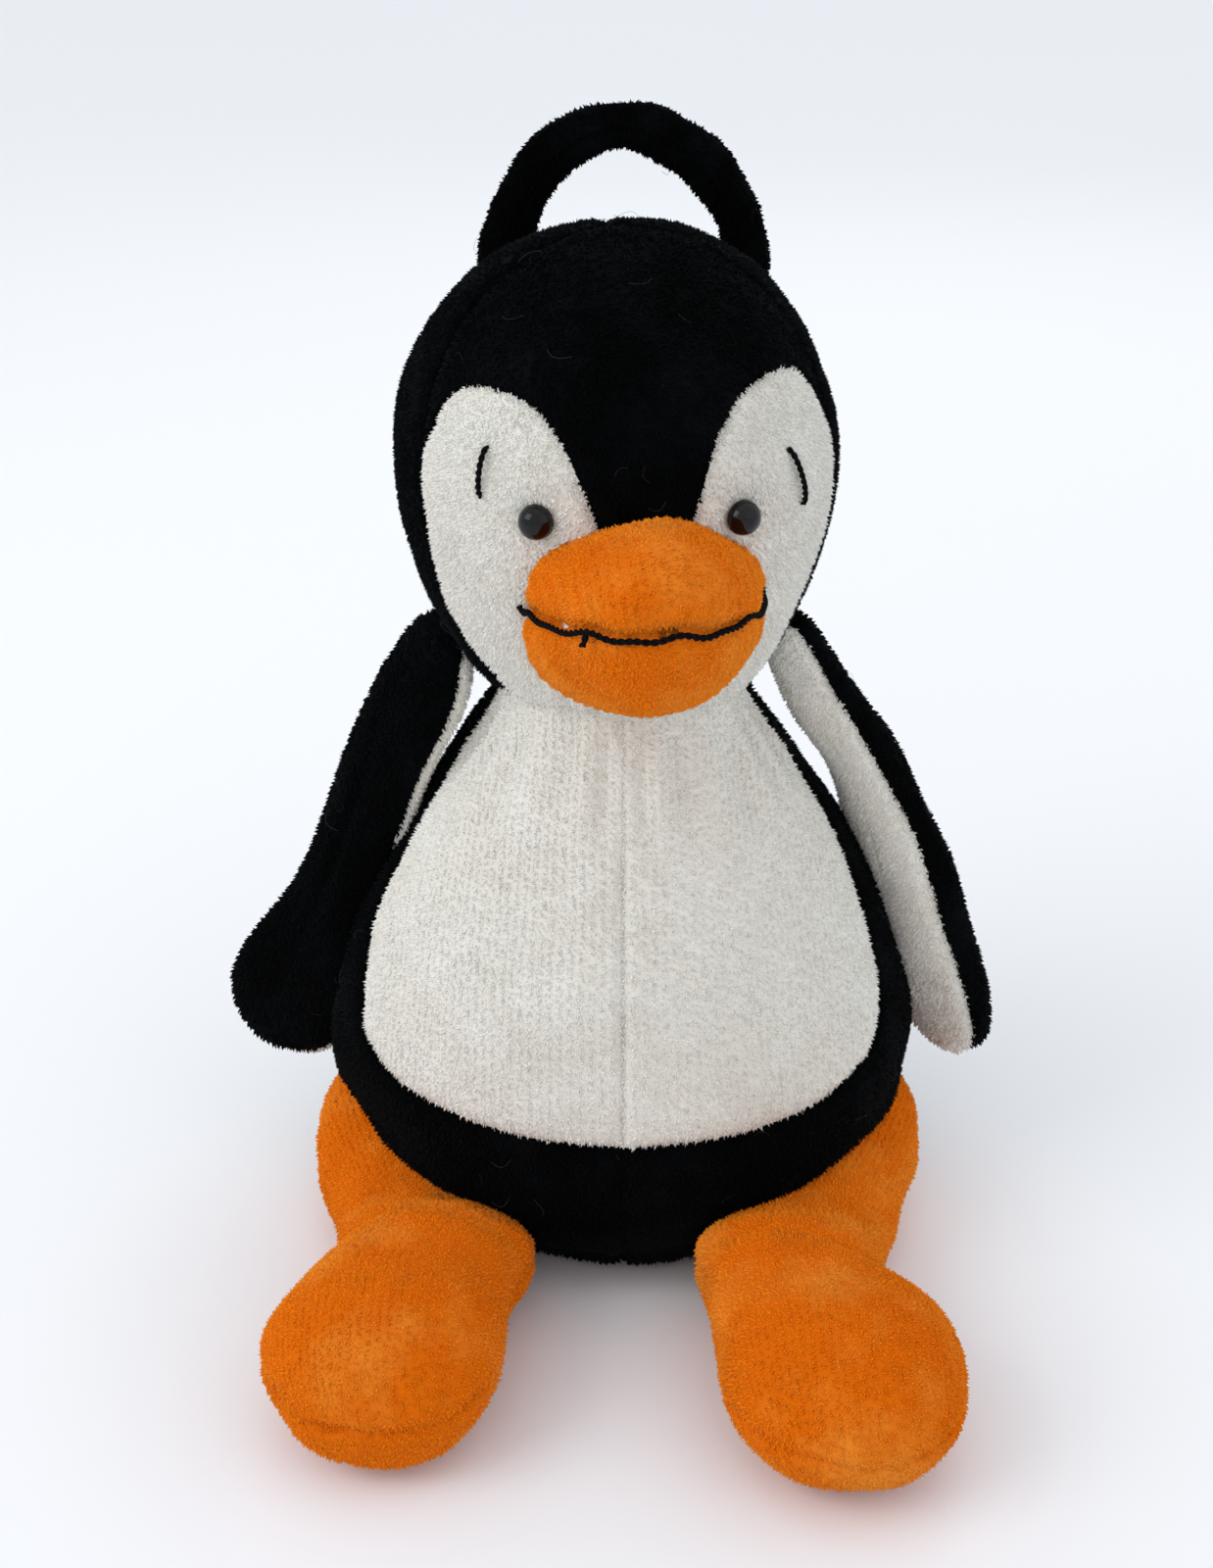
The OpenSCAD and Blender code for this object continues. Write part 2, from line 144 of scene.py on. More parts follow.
def middle_turns(columns):
    """The angle halfway between each column and the next."""
    middle = (np.arange(columns) + 0.5) * 360 / columns
    return np.where(middle > 180, middle - 360, middle)


def crossed(a, b):
    out = np.cross(a, b)
    return out / np.linalg.norm(out, axis=-1, keepdims=True)


# ---------------------------------------------------------------- meshes

def plain_mesh(name, points, faces):
    mesh = bpy.data.meshes.new(name)
    mesh.from_pydata((np.asarray(points) * MM).tolist(), [], faces)
    mesh.update()
    mesh.shade_smooth()
    return mesh


def piece_of(name, mesh):
    piece = bpy.data.objects.new(name, mesh)
    bpy.context.scene.collection.objects.link(piece)
    return piece


def read_points(mesh, what="co"):
    values = np.zeros(len(mesh.vertices) * 3, np.float32)
    mesh.vertices.foreach_get(what, values)
    return values.reshape(-1, 3).astype(float)


def write_points(mesh, points):
    mesh.vertices.foreach_set("co", (points * MM).astype(np.float32).ravel())
    mesh.update()


def store(mesh, name, values):
    layer = mesh.attributes.get(name) or mesh.attributes.new(name, "FLOAT", "POINT")
    layer.data.foreach_set("value", np.asarray(values, np.float32))


def stored(mesh, name):
    values = np.zeros(len(mesh.vertices), np.float32)
    mesh.attributes[name].data.foreach_get("value", values)
    return values.astype(float)


def loft_faces(rows, columns):
    """Faces of a grid that is closed round and runs to a point at each end."""
    index = np.arange(rows * columns).reshape(rows, columns)
    after = np.roll(index, -1, axis=1)
    quads = np.stack([index[:-1], after[:-1], after[1:], index[1:]], -1).reshape(-1, 4)
    first, last = rows * columns, rows * columns + 1
    start = [(first, b, a) for a, b in zip(index[0].tolist(), after[0].tolist())]
    end = [(last, a, b) for a, b in zip(index[-1].tolist(), after[-1].tolist())]
    return [*quads.tolist(), *start, *end]


def outward(points, faces):
    """The same faces, turned round if they point inwards."""
    volume = sum(
        np.dot(points[f[0]], np.cross(points[f[i]], points[f[i + 1]]))
        for f in faces for i in range(1, len(f) - 1)
    )
    return faces if volume > 0 else [f[::-1] for f in faces]


def loft(name, grid, ends):
    rows, columns = grid.shape[:2]
    points = np.vstack([grid.reshape(-1, 3), ends])
    return plain_mesh(name, points, outward(points, loft_faces(rows, columns)))


def final_mesh(piece):
    """The piece with its modifiers, as a plain mesh."""
    graph = bpy.context.evaluated_depsgraph_get()
    graph.update()
    return bpy.data.meshes.new_from_object(
        piece.evaluated_get(graph), preserve_all_data_layers=True, depsgraph=graph
    )


def finish_modifiers(piece):
    made = final_mesh(piece)
    piece.modifiers.clear()
    piece.data = made
    return piece


# ---------------------------------------------------------------- sewn and stuffed forms

PUFF_FRAMES = 16
PUFF_LIMIT = 2.4


def puff(piece, fixed):
    """Cloth run under pressure from inside. The fixed points are the seams, which hold."""
    group = piece.vertex_groups.new(name="seams")
    group.add(np.flatnonzero(fixed).tolist(), 1.0, "REPLACE")
    cloth = piece.modifiers.new("cloth", "CLOTH")
    cloth.settings.use_pressure = True
    cloth.settings.uniform_pressure_force = 4
    cloth.settings.effector_weights.gravity = 0
    cloth.settings.vertex_group_mass = group.name
    cloth.point_cache.frame_start = 1
    cloth.point_cache.frame_end = PUFF_FRAMES
    start = read_points(piece.data) / MM
    scene = bpy.context.scene
    for step in range(1, PUFF_FRAMES + 1):
        scene.frame_set(step)
    swollen = final_mesh(piece)
    moved = read_points(swollen) / MM - start
    bpy.data.meshes.remove(swollen)
    piece.modifiers.clear()
    piece.vertex_groups.clear()
    scene.frame_set(1)
    length = np.linalg.norm(moved, axis=1, keepdims=True)
    share = np.minimum(1, PUFF_LIMIT / np.maximum(length, 1e-9))
    write_points(piece.data, start + moved * share)


def seams_of(mesh):
    """The indices of the points where two panels meet."""
    count = len(mesh.loops)
    corner = np.zeros(count, np.int32)
    mesh.loops.foreach_get("vertex_index", corner)
    sizes = np.zeros(len(mesh.polygons), np.int32)
    mesh.polygons.foreach_get("loop_total", sizes)
    labels = np.zeros(len(mesh.polygons), np.int32)
    mesh.polygons.foreach_get("material_index", labels)
    label = np.repeat(labels, sizes)
    lowest = np.full(len(mesh.vertices), 99)
    highest = np.full(len(mesh.vertices), -1)
    np.minimum.at(lowest, corner, label)
    np.maximum.at(highest, corner, label)
    return np.flatnonzero(lowest != highest)


def distance_to(points, targets):
    tree = KDTree(len(targets))
    for i, target in enumerate(targets):
        tree.insert(target, i)
    tree.balance()
    return np.array([tree.find(point)[2] for point in points])


def sewn_form(name, grid, ends, label, end_labels, across, detail, groove=(1.3, 1.5)):
    """The dense mesh of a stuffed form, closed round, whose faces are labelled by panel.

    label is a number for each quad of the grid, across is each grid point's distance round the form,
    and detail gives how far each point stands out, from the points, their normals and across."""
    mesh = loft(name, grid, ends)
    labels = np.concatenate([label.ravel(), *end_labels])
    for _ in range(int(labels.max()) + 1):
        mesh.materials.append(None)
    mesh.polygons.foreach_set("material_index", labels.astype(np.int32))
    store(mesh, "across", np.concatenate([across.ravel(), across[0, :1], across[-1, :1]]))
    piece = piece_of(name, mesh)
    fixed = np.zeros(len(mesh.vertices), bool)
    fixed[seams_of(mesh)] = True
    puff(piece, fixed)
    smooth = piece.modifiers.new("smooth", "SUBSURF")
    smooth.levels = smooth.render_levels = 2
    finish_modifiers(piece)
    mesh = piece.data
    points = read_points(mesh) / MM
    normals = read_points(mesh, "normal")
    seam = points[seams_of(mesh)]
    depth, width = groove
    away = distance_to(points, seam) if len(seam) else np.full(len(points), 99.0)
    pucker = 1 + 0.35 * ripple(points, 7, 3)
    offset = detail(points, normals, stored(mesh, "across")) - depth * pucker * hill(away, 0, width)
    write_points(mesh, points + normals * offset[:, None])
    bpy.data.objects.remove(piece)
    return mesh


def cut_panels(mesh, names, cloth=1.1, bare=None):
    """The form's panels as pieces of cloth with a thickness, each standing for the node of its name.
    cover is 1 on the outside and 0 on the inside."""
    points = read_points(mesh) / MM
    normals = read_points(mesh, "normal")
    across = stored(mesh, "across")
    quads = np.zeros(len(mesh.loops), np.int32)
    mesh.loops.foreach_get("vertex_index", quads)
    quads = quads.reshape(-1, 4)
    labels = np.zeros(len(mesh.polygons), np.int32)
    mesh.polygons.foreach_get("material_index", labels)
    cover = np.ones(len(points)) if bare is None else np.where(bare(points, normals), 0.0, 1.0)
    made = []
    for number, name in enumerate(names):
        used, faces = np.unique(quads[labels == number], return_inverse=True)
        faces = faces.reshape(-1, 4)
        count = len(used)
        sides = np.stack([faces, np.roll(faces, -1, axis=1)], -1).reshape(-1, 2)
        both = set(map(tuple, sides.tolist()))
        rim = [(b, a, a + count, b + count) for a, b in both if (b, a) not in both]
        rim.sort()
        outer, inner = points[used], points[used] - normals[used] * cloth
        skin = [*faces.tolist(), *(faces[:, ::-1] + count).tolist(), *rim]
        panel = plain_mesh(name + "_cloth", np.vstack([outer, inner]), skin)
        store(panel, "across", np.concatenate([across[used], across[used]]))
        store(panel, "cover", np.concatenate([cover[used], np.zeros(count)]))
        made.append(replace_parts(piece_of(name + "_cloth", panel), name))
    return made


# ---------------------------------------------------------------- node helpers

def new_tree(name, *sockets):
    """A Geometry Nodes tree with its geometry sockets and the named inputs."""
    tree = bpy.data.node_groups.new(name, "GeometryNodeTree")
    tree.interface.new_socket("Geometry", in_out="OUTPUT", socket_type="NodeSocketGeometry")
    tree.interface.new_socket("Geometry", in_out="INPUT", socket_type="NodeSocketGeometry")
    for label, kind, value in sockets:
        socket = tree.interface.new_socket(label, in_out="INPUT", socket_type="NodeSocket" + kind)
        if value is not None:
            socket.default_value = value
    return tree


def add(tree, kind, inputs=None, **settings):
    """A new node. An input that is given a socket is linked to it, and any other value is set."""
    node = tree.nodes.new(kind)
    for key, value in settings.items():
        setattr(node, key, value)
    for key, value in (inputs or {}).items():
        if isinstance(value, bpy.types.NodeSocket):
            tree.links.new(value, node.inputs[key])
        else:
            node.inputs[key].default_value = value
    return node


def math_node(tree, operation, a, b=0.0):
    return add(tree, "ShaderNodeMath", {0: a, 1: b}, operation=operation).outputs[0]


def vector_node(tree, operation, a, b):
    return add(tree, "ShaderNodeVectorMath", {0: a, 1: b}, operation=operation).outputs[0]


def apply_tree(piece, tree, values):
    """Runs a tree on the piece with these inputs, and keeps the result as a plain mesh."""
    nodes = piece.modifiers.new(tree.name, "NODES")
    nodes.node_group = tree
    for item in tree.interface.items_tree:
        if item.in_out == "INPUT" and item.name in values:
            nodes[item.identifier] = values[item.name]
    return finish_modifiers(piece)


# ---------------------------------------------------------------- pile

def lint_fibres(tree, given, cover):
    """A few stray curled fibres that cling to the pile."""
    spread = add(
        tree, "GeometryNodeDistributePointsOnFaces",
        {"Mesh": given["Geometry"], "Density": math_node(tree, "MULTIPLY", given["Lint"], cover),
         "Seed": given["Seed"]},
        distribute_method="RANDOM",
    )
    curl = add(
        tree, "GeometryNodeCurveQuadraticBezier",
        {"Resolution": 7, "Start": (-0.002, 0.0, 0.0), "Middle": (0.0004, 0.0022, 0.0012),
         "End": (0.0022, -0.0004, 0.0001)},
    ).outputs[0]
    round_it = add(tree, "GeometryNodeCurvePrimitiveCircle", {"Resolution": 3, "Radius": 0.00003})
    fibre = add(
        tree, "GeometryNodeCurveToMesh", {"Curve": curl, "Profile Curve": round_it.outputs[0]}
    ).outputs[0]
    marked = add(
        tree, "GeometryNodeStoreNamedAttribute", {"Geometry": fibre, "Name": "lint", "Value": 1.0},
        data_type="FLOAT", domain="POINT",
    ).outputs[0]
    spin = add(
        tree, "FunctionNodeRandomValue",
        {0: (-0.25, -0.25, 0.0), 1: (0.25, 0.25, 6.28), "Seed": 3}, data_type="FLOAT_VECTOR",
    ).outputs[0]
    flat = add(
        tree, "FunctionNodeAlignRotationToVector", {"Vector": spread.outputs["Normal"]}, axis="Z"
    ).outputs[0]
    way = add(tree, "FunctionNodeRotateRotation", {0: flat, 1: spin}, rotation_space="LOCAL").outputs[0]
    size = add(tree, "FunctionNodeRandomValue", {2: 0.35, 3: 1.5, "Seed": 4}, data_type="FLOAT")
    lifted = add(
        tree, "GeometryNodeSetPosition",
        {"Geometry": spread.outputs["Points"],
         "Offset": add(tree, "ShaderNodeVectorMath",
                       {0: spread.outputs["Normal"], "Scale": 0.0008}, operation="SCALE").outputs[0]},
    ).outputs[0]
    placed = add(
        tree, "GeometryNodeInstanceOnPoints",
        {"Points": lifted, "Instance": marked, "Rotation": way, "Scale": size.outputs[1]},
    ).outputs[0]
    return add(tree, "GeometryNodeRealizeInstances", {"Geometry": placed}).outputs[0]


def pile_tree():
    """Short leaning tufts all over the outside of a piece of cloth, longer along its ribs."""
    tree = new_tree(
        "velour pile",
        ("Tufts", "Float", 2.0e6),
        ("Length", "Float", 0.001),
        ("Width", "Float", 0.0006),
        ("Comb", "Vector", (0.0, 0.0, -0.5)),
        ("Scatter", "Float", 0.4),
        ("Rib pitch", "Float", 1.8),
        ("Rib depth", "Float", 0.0),
        ("Crush", "Float", 0.3),
        ("Lint", "Float", 0.0),
        ("Seed", "Int", 1),
        ("Material", "Material", None),
    )
    given = add(tree, "NodeGroupInput").outputs
    cover = add(tree, "GeometryNodeInputNamedAttribute", {"Name": "cover"}, data_type="FLOAT")
    density = math_node(tree, "MULTIPLY", given["Tufts"], cover.outputs["Attribute"])
    spread = add(
        tree, "GeometryNodeDistributePointsOnFaces",
        {"Mesh": given["Geometry"], "Density": density, "Seed": given["Seed"]},
        distribute_method="RANDOM",
    )
    place = add(tree, "GeometryNodeInputPosition").outputs[0]
    patches = add(
        tree, "ShaderNodeTexNoise", {"Vector": place, "Scale": 55.0, "Detail": 2.0}
    ).outputs[0]
    swirl = add(
        tree, "ShaderNodeTexNoise", {"Vector": place, "Scale": 90.0, "Detail": 1.0}
    ).outputs[1]
    jitter = add(
        tree, "FunctionNodeRandomValue",
        {0: (-1.0, -1.0, -1.0), 1: (1.0, 1.0, 1.0), "Seed": given["Seed"]},
        data_type="FLOAT_VECTOR",
    ).outputs[0]
    scattered = add(
        tree, "ShaderNodeVectorMath", {0: jitter, "Scale": given["Scatter"]}, operation="SCALE"
    ).outputs[0]
    swirled = vector_node(tree, "SUBTRACT", swirl, (0.5, 0.5, 0.5))
    crushed = add(
        tree, "ShaderNodeVectorMath",
        {0: swirled, "Scale": math_node(tree, "MULTIPLY", given["Crush"], 5.0)},
        operation="SCALE",
    ).outputs[0]
    lean = vector_node(tree, "ADD", given["Comb"], vector_node(tree, "ADD", scattered, crushed))
    way = vector_node(tree, "ADD", spread.outputs["Normal"], lean)
    stand = add(
        tree, "FunctionNodeAlignRotationToVector", {"Vector": way}, axis="Z"
    ).outputs[0]
    across = add(tree, "GeometryNodeInputNamedAttribute", {"Name": "across"}, data_type="FLOAT")
    phase = math_node(tree, "DIVIDE", across.outputs["Attribute"], given["Rib pitch"])
    wave = math_node(tree, "COSINE", math_node(tree, "MULTIPLY", phase, 2 * math.pi))
    valley = math_node(tree, "MULTIPLY_ADD", wave, -0.5)
    valley.node.inputs[2].default_value = 0.5
    ribbed = math_node(tree, "SUBTRACT", 1.0, math_node(tree, "MULTIPLY", valley, given["Rib depth"]))
    uneven = add(
        tree, "FunctionNodeRandomValue", {2: 0.7, 3: 1.25, "Seed": 5}, data_type="FLOAT"
    ).outputs[1]
    flattened = math_node(tree, "MULTIPLY", patches, given["Crush"])
    tall = math_node(tree, "MULTIPLY", math_node(tree, "MULTIPLY", uneven, ribbed),
                     math_node(tree, "SUBTRACT", 1.15, flattened))
    size = add(tree, "ShaderNodeCombineXYZ", {0: uneven, 1: uneven, 2: tall}).outputs[0]
    cone = add(
        tree, "GeometryNodeMeshCone",
        {"Vertices": 3, "Radius Top": 0.0, "Depth": given["Length"],
         "Radius Bottom": math_node(tree, "MULTIPLY", given["Width"], 0.5)},
        fill_type="NONE",
    )
    height = add(tree, "ShaderNodeSeparateXYZ", {0: place}).outputs[2]
    tuft = add(
        tree, "GeometryNodeStoreNamedAttribute",
        {"Geometry": cone.outputs["Mesh"], "Name": "tip",
         "Value": math_node(tree, "DIVIDE", height, given["Length"])},
        data_type="FLOAT", domain="POINT",
    ).outputs[0]
    planted = add(
        tree, "GeometryNodeInstanceOnPoints",
        {"Points": spread.outputs["Points"], "Instance": tuft, "Rotation": stand, "Scale": size},
    ).outputs[0]
    shade = add(tree, "FunctionNodeRandomValue", {2: 0.0, 3: 1.0, "Seed": 9}, data_type="FLOAT")
    tinted = add(
        tree, "GeometryNodeStoreNamedAttribute",
        {"Geometry": planted, "Name": "shade", "Value": shade.outputs[1]},
        data_type="FLOAT", domain="INSTANCE",
    ).outputs[0]
    real = add(tree, "GeometryNodeRealizeInstances", {"Geometry": tinted}).outputs[0]
    soft = add(tree, "GeometryNodeSetShadeSmooth", {"Geometry": real}).outputs[0]
    joined = add(tree, "GeometryNodeJoinGeometry", {"Geometry": soft})
    tree.links.new(given["Geometry"], joined.inputs[0])
    tree.links.new(lint_fibres(tree, given, cover.outputs["Attribute"]), joined.inputs[0])
    dyed = add(
        tree, "GeometryNodeSetMaterial",
        {"Geometry": joined.outputs[0], "Material": given["Material"]},
    ).outputs[0]
    add(tree, "NodeGroupOutput", {0: dyed})
    return tree


# ---------------------------------------------------------------- materials

def new_material(name):
    material = bpy.data.materials.new(name)
    material.use_nodes = True
    tree = material.node_tree
    shader = next(n for n in tree.nodes if n.type == "BSDF_PRINCIPLED")
    return material, tree, shader


def mixed(tree, share, a, b, blend="MIX"):
    node = add(tree, "ShaderNodeMix", data_type="RGBA", blend_type=blend)
    for index, value in ((0, share), (6, a), (7, b)):
        if isinstance(value, bpy.types.NodeSocket):
            tree.links.new(value, node.inputs[index])
        else:
            node.inputs[index].default_value = value if index == 0 else (*value, 1.0)
    return node.outputs[2]


def noise(tree, scale, detail=2.0, rough=0.5):
    where = add(tree, "ShaderNodeTexCoord").outputs["Object"]
    return add(
        tree, "ShaderNodeTexNoise",
        {"Vector": where, "Scale": scale, "Detail": detail, "Roughness": rough},
    ).outputs[0]


def banded(tree, value, low, high):
    """0 where value is under low, 1 over high."""
    return add(
        tree, "ShaderNodeMapRange", {"Value": value, "From Min": low, "From Max": high}
    ).outputs[0]


def velour(name, root, tip, crush_sheen, patch, sheen, shine):
    """Short pile: dark at the roots as painted shade deep in the pile, pale at the tips, and lighter in
    crushed patches as painted sheen.
    """
    material, tree, shader = new_material(name)
    height = add(tree, "ShaderNodeAttribute", attribute_name="tip").outputs["Fac"]
    shade = add(tree, "ShaderNodeAttribute", attribute_name="shade").outputs["Fac"]
    # Colour runs from the root colour to the tip colour along each tuft: the darker roots are painted shade
    # deep in the pile.
    pile = mixed(tree, banded(tree, height, 0.0, 0.9), root, tip)
    # Crushed pile patches are lighter: painted sheen of the flattened nap, mixed into the colour by large
    # noise.
    sheen_patch = banded(tree, noise(tree, patch, 3.0, 0.6), 0.46, 0.72)
    sheened = mixed(tree, math_node(tree, "MULTIPLY", sheen_patch, 0.55), pile, crush_sheen)
    stray = add(tree, "ShaderNodeAttribute", attribute_name="lint").outputs["Fac"]
    coloured = mixed(tree, stray, sheened, (0.06, 0.063, 0.07))
    uneven = banded(tree, shade, 0.0, 1.0)
    uneven.node.inputs["To Min"].default_value = 0.86
    uneven.node.inputs["To Max"].default_value = 1.1
    tone = add(tree, "ShaderNodeCombineColor", {0: uneven, 1: uneven, 2: uneven}).outputs[0]
    tree.links.new(mixed(tree, 1.0, coloured, tone, "MULTIPLY"), shader.inputs["Base Color"])
    bump = add(tree, "ShaderNodeBump", {"Height": noise(tree, 1400.0, 1.0), "Distance": 0.0003,
                                        "Strength": 0.5})
    tree.links.new(bump.outputs[0], shader.inputs["Normal"])
    shader.inputs["Roughness"].default_value = 0.9
    shader.inputs["Specular IOR Level"].default_value = shine
    shader.inputs["Sheen Weight"].default_value = sheen
    shader.inputs["Sheen Roughness"].default_value = 0.45
    return material


def glossy(name, colour, rough):
    """Moulded plastic with the faint unevenness of a real moulding."""
    material, tree, shader = new_material(name)
    cloud = noise(tree, 260.0, 3.0)
    lighter = tuple(min(1.0, c * 1.6 + 0.004) for c in colour)
    tree.links.new(mixed(tree, banded(tree, cloud, 0.4, 0.8), colour, lighter),
                   shader.inputs["Base Color"])
    ramp = banded(tree, cloud, 0.2, 0.9)
    ramp.node.inputs["To Min"].default_value = rough
    ramp.node.inputs["To Max"].default_value = rough + 0.1
    tree.links.new(ramp, shader.inputs["Roughness"])
    shader.inputs["Specular IOR Level"].default_value = 0.3
    return material


def thread(name, colour, pale):
    """Spun yarn: fine fibres along its length."""
    material, tree, shader = new_material(name)
    fibres = noise(tree, 2600.0, 2.0, 0.7)
    tree.links.new(mixed(tree, banded(tree, fibres, 0.45, 0.8), colour, pale),
                   shader.inputs["Base Color"])
    bump = add(tree, "ShaderNodeBump", {"Height": fibres, "Distance": 0.0002, "Strength": 0.7})
    tree.links.new(bump.outputs[0], shader.inputs["Normal"])
    shader.inputs["Roughness"].default_value = 0.8
    shader.inputs["Specular IOR Level"].default_value = 0.06
    return material


# Each velour gives its root colour (darker, painted shade in the pile), tip colour, crushed-patch colour
# (lighter, painted sheen), patch scale, sheen weight and specular level.
BLACK = velour("black velour", (0.0006, 0.0008, 0.001), (0.0022, 0.0028, 0.0034),
               (0.005, 0.0065, 0.008), 45.0, 0.01, 0.04)
WHITE = velour("white velour", (0.86, 0.83, 0.75), (0.99, 0.97, 0.91), (0.99, 0.98, 0.93),
               60.0, 0.15, 0.15)
ORANGE = velour("orange velour", (0.78, 0.155, 0.002), (1.0, 0.275, 0.006), (1.0, 0.38, 0.045),
                38.0, 0.02, 0.06)
LOOP_CLOTH = velour("loop fabric", (0.0006, 0.0008, 0.001), (0.0022, 0.0026, 0.0032),
                    (0.005, 0.006, 0.007), 70.0, 0.01, 0.04)
YARN = thread("black thread", (0.0015, 0.0015, 0.002), (0.010, 0.010, 0.012))
EYE_GLOSS = glossy("eye gloss", (0.0012, 0.001, 0.001), 0.05)
WASHER_PLASTIC = glossy("washer plastic", (0.72, 0.71, 0.66), 0.38)
FILL = thread("fibre fill", (0.78, 0.78, 0.76), (0.9, 0.9, 0.89))

PILE = pile_tree()
CLOTHS = {
    "white_velour": dict(tufts=2.35e6, length=1.05, width=0.66, rib=2.2, depth=0.7, crush=0.22,
                         scatter=0.32, comb=(0.0, -0.1, -0.35), lint=0.0, material=WHITE),
    "black_velour": dict(tufts=1.55e6, length=1.05, width=0.75, rib=2.0, depth=0.0, crush=0.3,
                         scatter=0.35, comb=(0.0, 0.0, -0.5), lint=2500.0, material=BLACK),
    "orange_velour": dict(tufts=2.1e6, length=1.0, width=0.68, rib=2.2, depth=0.65, crush=0.35,
                          scatter=0.3, comb=(0.0, -0.3, -0.2), lint=0.0, material=ORANGE),
    "loop_fabric": dict(tufts=2.2e6, length=0.8, width=0.65, rib=2.0, depth=0.0, crush=0.3,
                        scatter=0.35, comb=(0.0, 0.0, -0.4), lint=2500.0, material=LOOP_CLOTH),
}


def with_pile(piece, slot, seed, **changes):
    """Gives a panel its pile and its finish."""
    cloth = {**CLOTHS[slot], **changes}
    apply_tree(piece, PILE, {
        "Tufts": cloth["tufts"], "Length": cloth["length"] * MM, "Width": cloth["width"] * MM,
        "Comb": cloth["comb"], "Scatter": cloth["scatter"], "Rib pitch": cloth["rib"],
        "Rib depth": cloth["depth"], "Crush": cloth["crush"], "Lint": cloth["lint"], "Seed": seed,
        "Material": cloth["material"],
    })
    return piece


# ---------------------------------------------------------------- stuffing

def stuffing(node, body, grid, ends, inset=3.4, lumps=1.0):
    """Loose fibre fill: the form's own shape, set in under the cloth and lumpy all over."""
    piece = piece_of(node + "_fill", loft(node + "_fill", grid, ends))
    smooth = piece.modifiers.new("smooth", "SUBSURF")
    smooth.levels = smooth.render_levels = 1
    finish_modifiers(piece)
    mesh = piece.data
    points = read_points(mesh) / MM
    normals = read_points(mesh, "normal")
    lump = ripple(points, 9, 21) * 0.7 + ripple(points, 4, 22) * 0.3
    write_points(mesh, points + normals * (lumps * lump - inset)[:, None])
    mesh.materials.append(FILL)
    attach(piece, body)
    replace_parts(piece, node)
    return piece


# ---------------------------------------------------------------- body

# Height, half width, depth to the front, depth to the back
TORSO = [
    [0, 46, 45, 40], [4, 54, 53, 47], [14, 66, 62, 54], [26, 73, 66, 58], [40, 76.5, 67, 60],
    [56, 76, 66, 60],
    [78, 69, 61, 56], [98, 58, 53, 48], [114, 47, 44, 42], [126, 38, 38, 38], [134, 33, 34, 34],
    [142, 30, 31, 31], [150, 28, 28, 28],
]
# Angle round from the front, height of the white belly's lower edge
BELLY_EDGE = [
    [0, 45.5], [30, 48], [50, 53.5], [60, 61], [66, 75], [74, 98], [82, 116], [86.25, 128], [100, 112],
    [130, 84], [180, 75],
]
BODY_COLUMNS = 96
BODY_START = 1.4
SEAT_ROWS, SIDE_ROWS = 2, 17
# Half width of the CAD body that the torso's rows go with
TORSO_HALF_WIDTH = 75
# How far each form is drawn in, which leaves room for the cloth to swell
BODY_ROOM, HEAD_ROOM, LEG_ROOM = 1.2, 1.6, 0.8
# Angle round from the front where the belly's side seam ends at the neck
BELLY_TURN = 86.25


def body_grid():
    signed = signed_turns(BODY_COLUMNS)
    edge = through(BELLY_EDGE, np.abs(signed))[:, 0]
    low = np.linspace(0, 1, SIDE_ROWS)[:, None] ** 1.15
    high = np.linspace(0, 1, 19)[1:, None]
    height = np.vstack([BODY_START + (edge - BODY_START) * low, edge + (NECK_EDGE + 20 - edge) * high])
    size = through(TORSO, height.ravel()).reshape(*height.shape, 3)
    size = size * BODY_HALF_WIDTH / TORSO_HALF_WIDTH - BODY_ROOM
    c, s = np.cos(np.radians(signed)), np.sin(np.radians(signed))
    wide = size[..., 0] * s
    deep = -np.where(c > 0, size[..., 1], size[..., 2]) * c
    grid = np.stack([wide, deep, height], -1)
    seat = [
        np.stack([r * s, -r * c, np.full_like(s, BODY_START - 0.2)], -1)
        for r in (SEAT_RADIUS / 2, SEAT_RADIUS)
    ]
    grid = np.concatenate([np.array(seat), grid])
    across = np.radians(signed) * np.hypot(grid[..., 0], grid[..., 1])
    return grid, across


def body_label(grid):
    rows, columns = grid.shape[:2]
    middle = middle_turns(columns)
    label = np.where(middle < 0, 2, 3)[None].repeat(rows - 1, 0)
    belly = np.abs(middle) < BELLY_TURN
    label[SEAT_ROWS + SIDE_ROWS - 1:, belly] = np.where(middle < 0, 0, 1)[belly]
    label[:SEAT_ROWS] = 4
    top = np.where(belly, np.where(middle < 0, 0, 1), np.where(middle < 0, 2, 3))
    return label, [np.full(columns, 4), top]


def body_detail(points, normals, across):
    x, y, z = points.T
    front = rise_between(0, 20, -y)
    turn = np.degrees(np.arctan2(x, -y))
    gathers = np.cos(turn * 0.36 + 1.5 * np.sin(turn * 0.09)) * hill(z, 127, 11) * 0.9
    sag = ripple(points * [1, 1, 1.6], 30, 31) * 0.8
    folds = ripple(points * [0.35, 0.35, 2.2], 16, 32) * rise_between(48, 30, z) * front * 0.9
    tucks = ripple(points * [1, 1, 0.4], 6, 33) * hill(x, 0, 5) * rise_between(20, 40, z) * front * 0.5
    return gathers + sag + folds + tucks


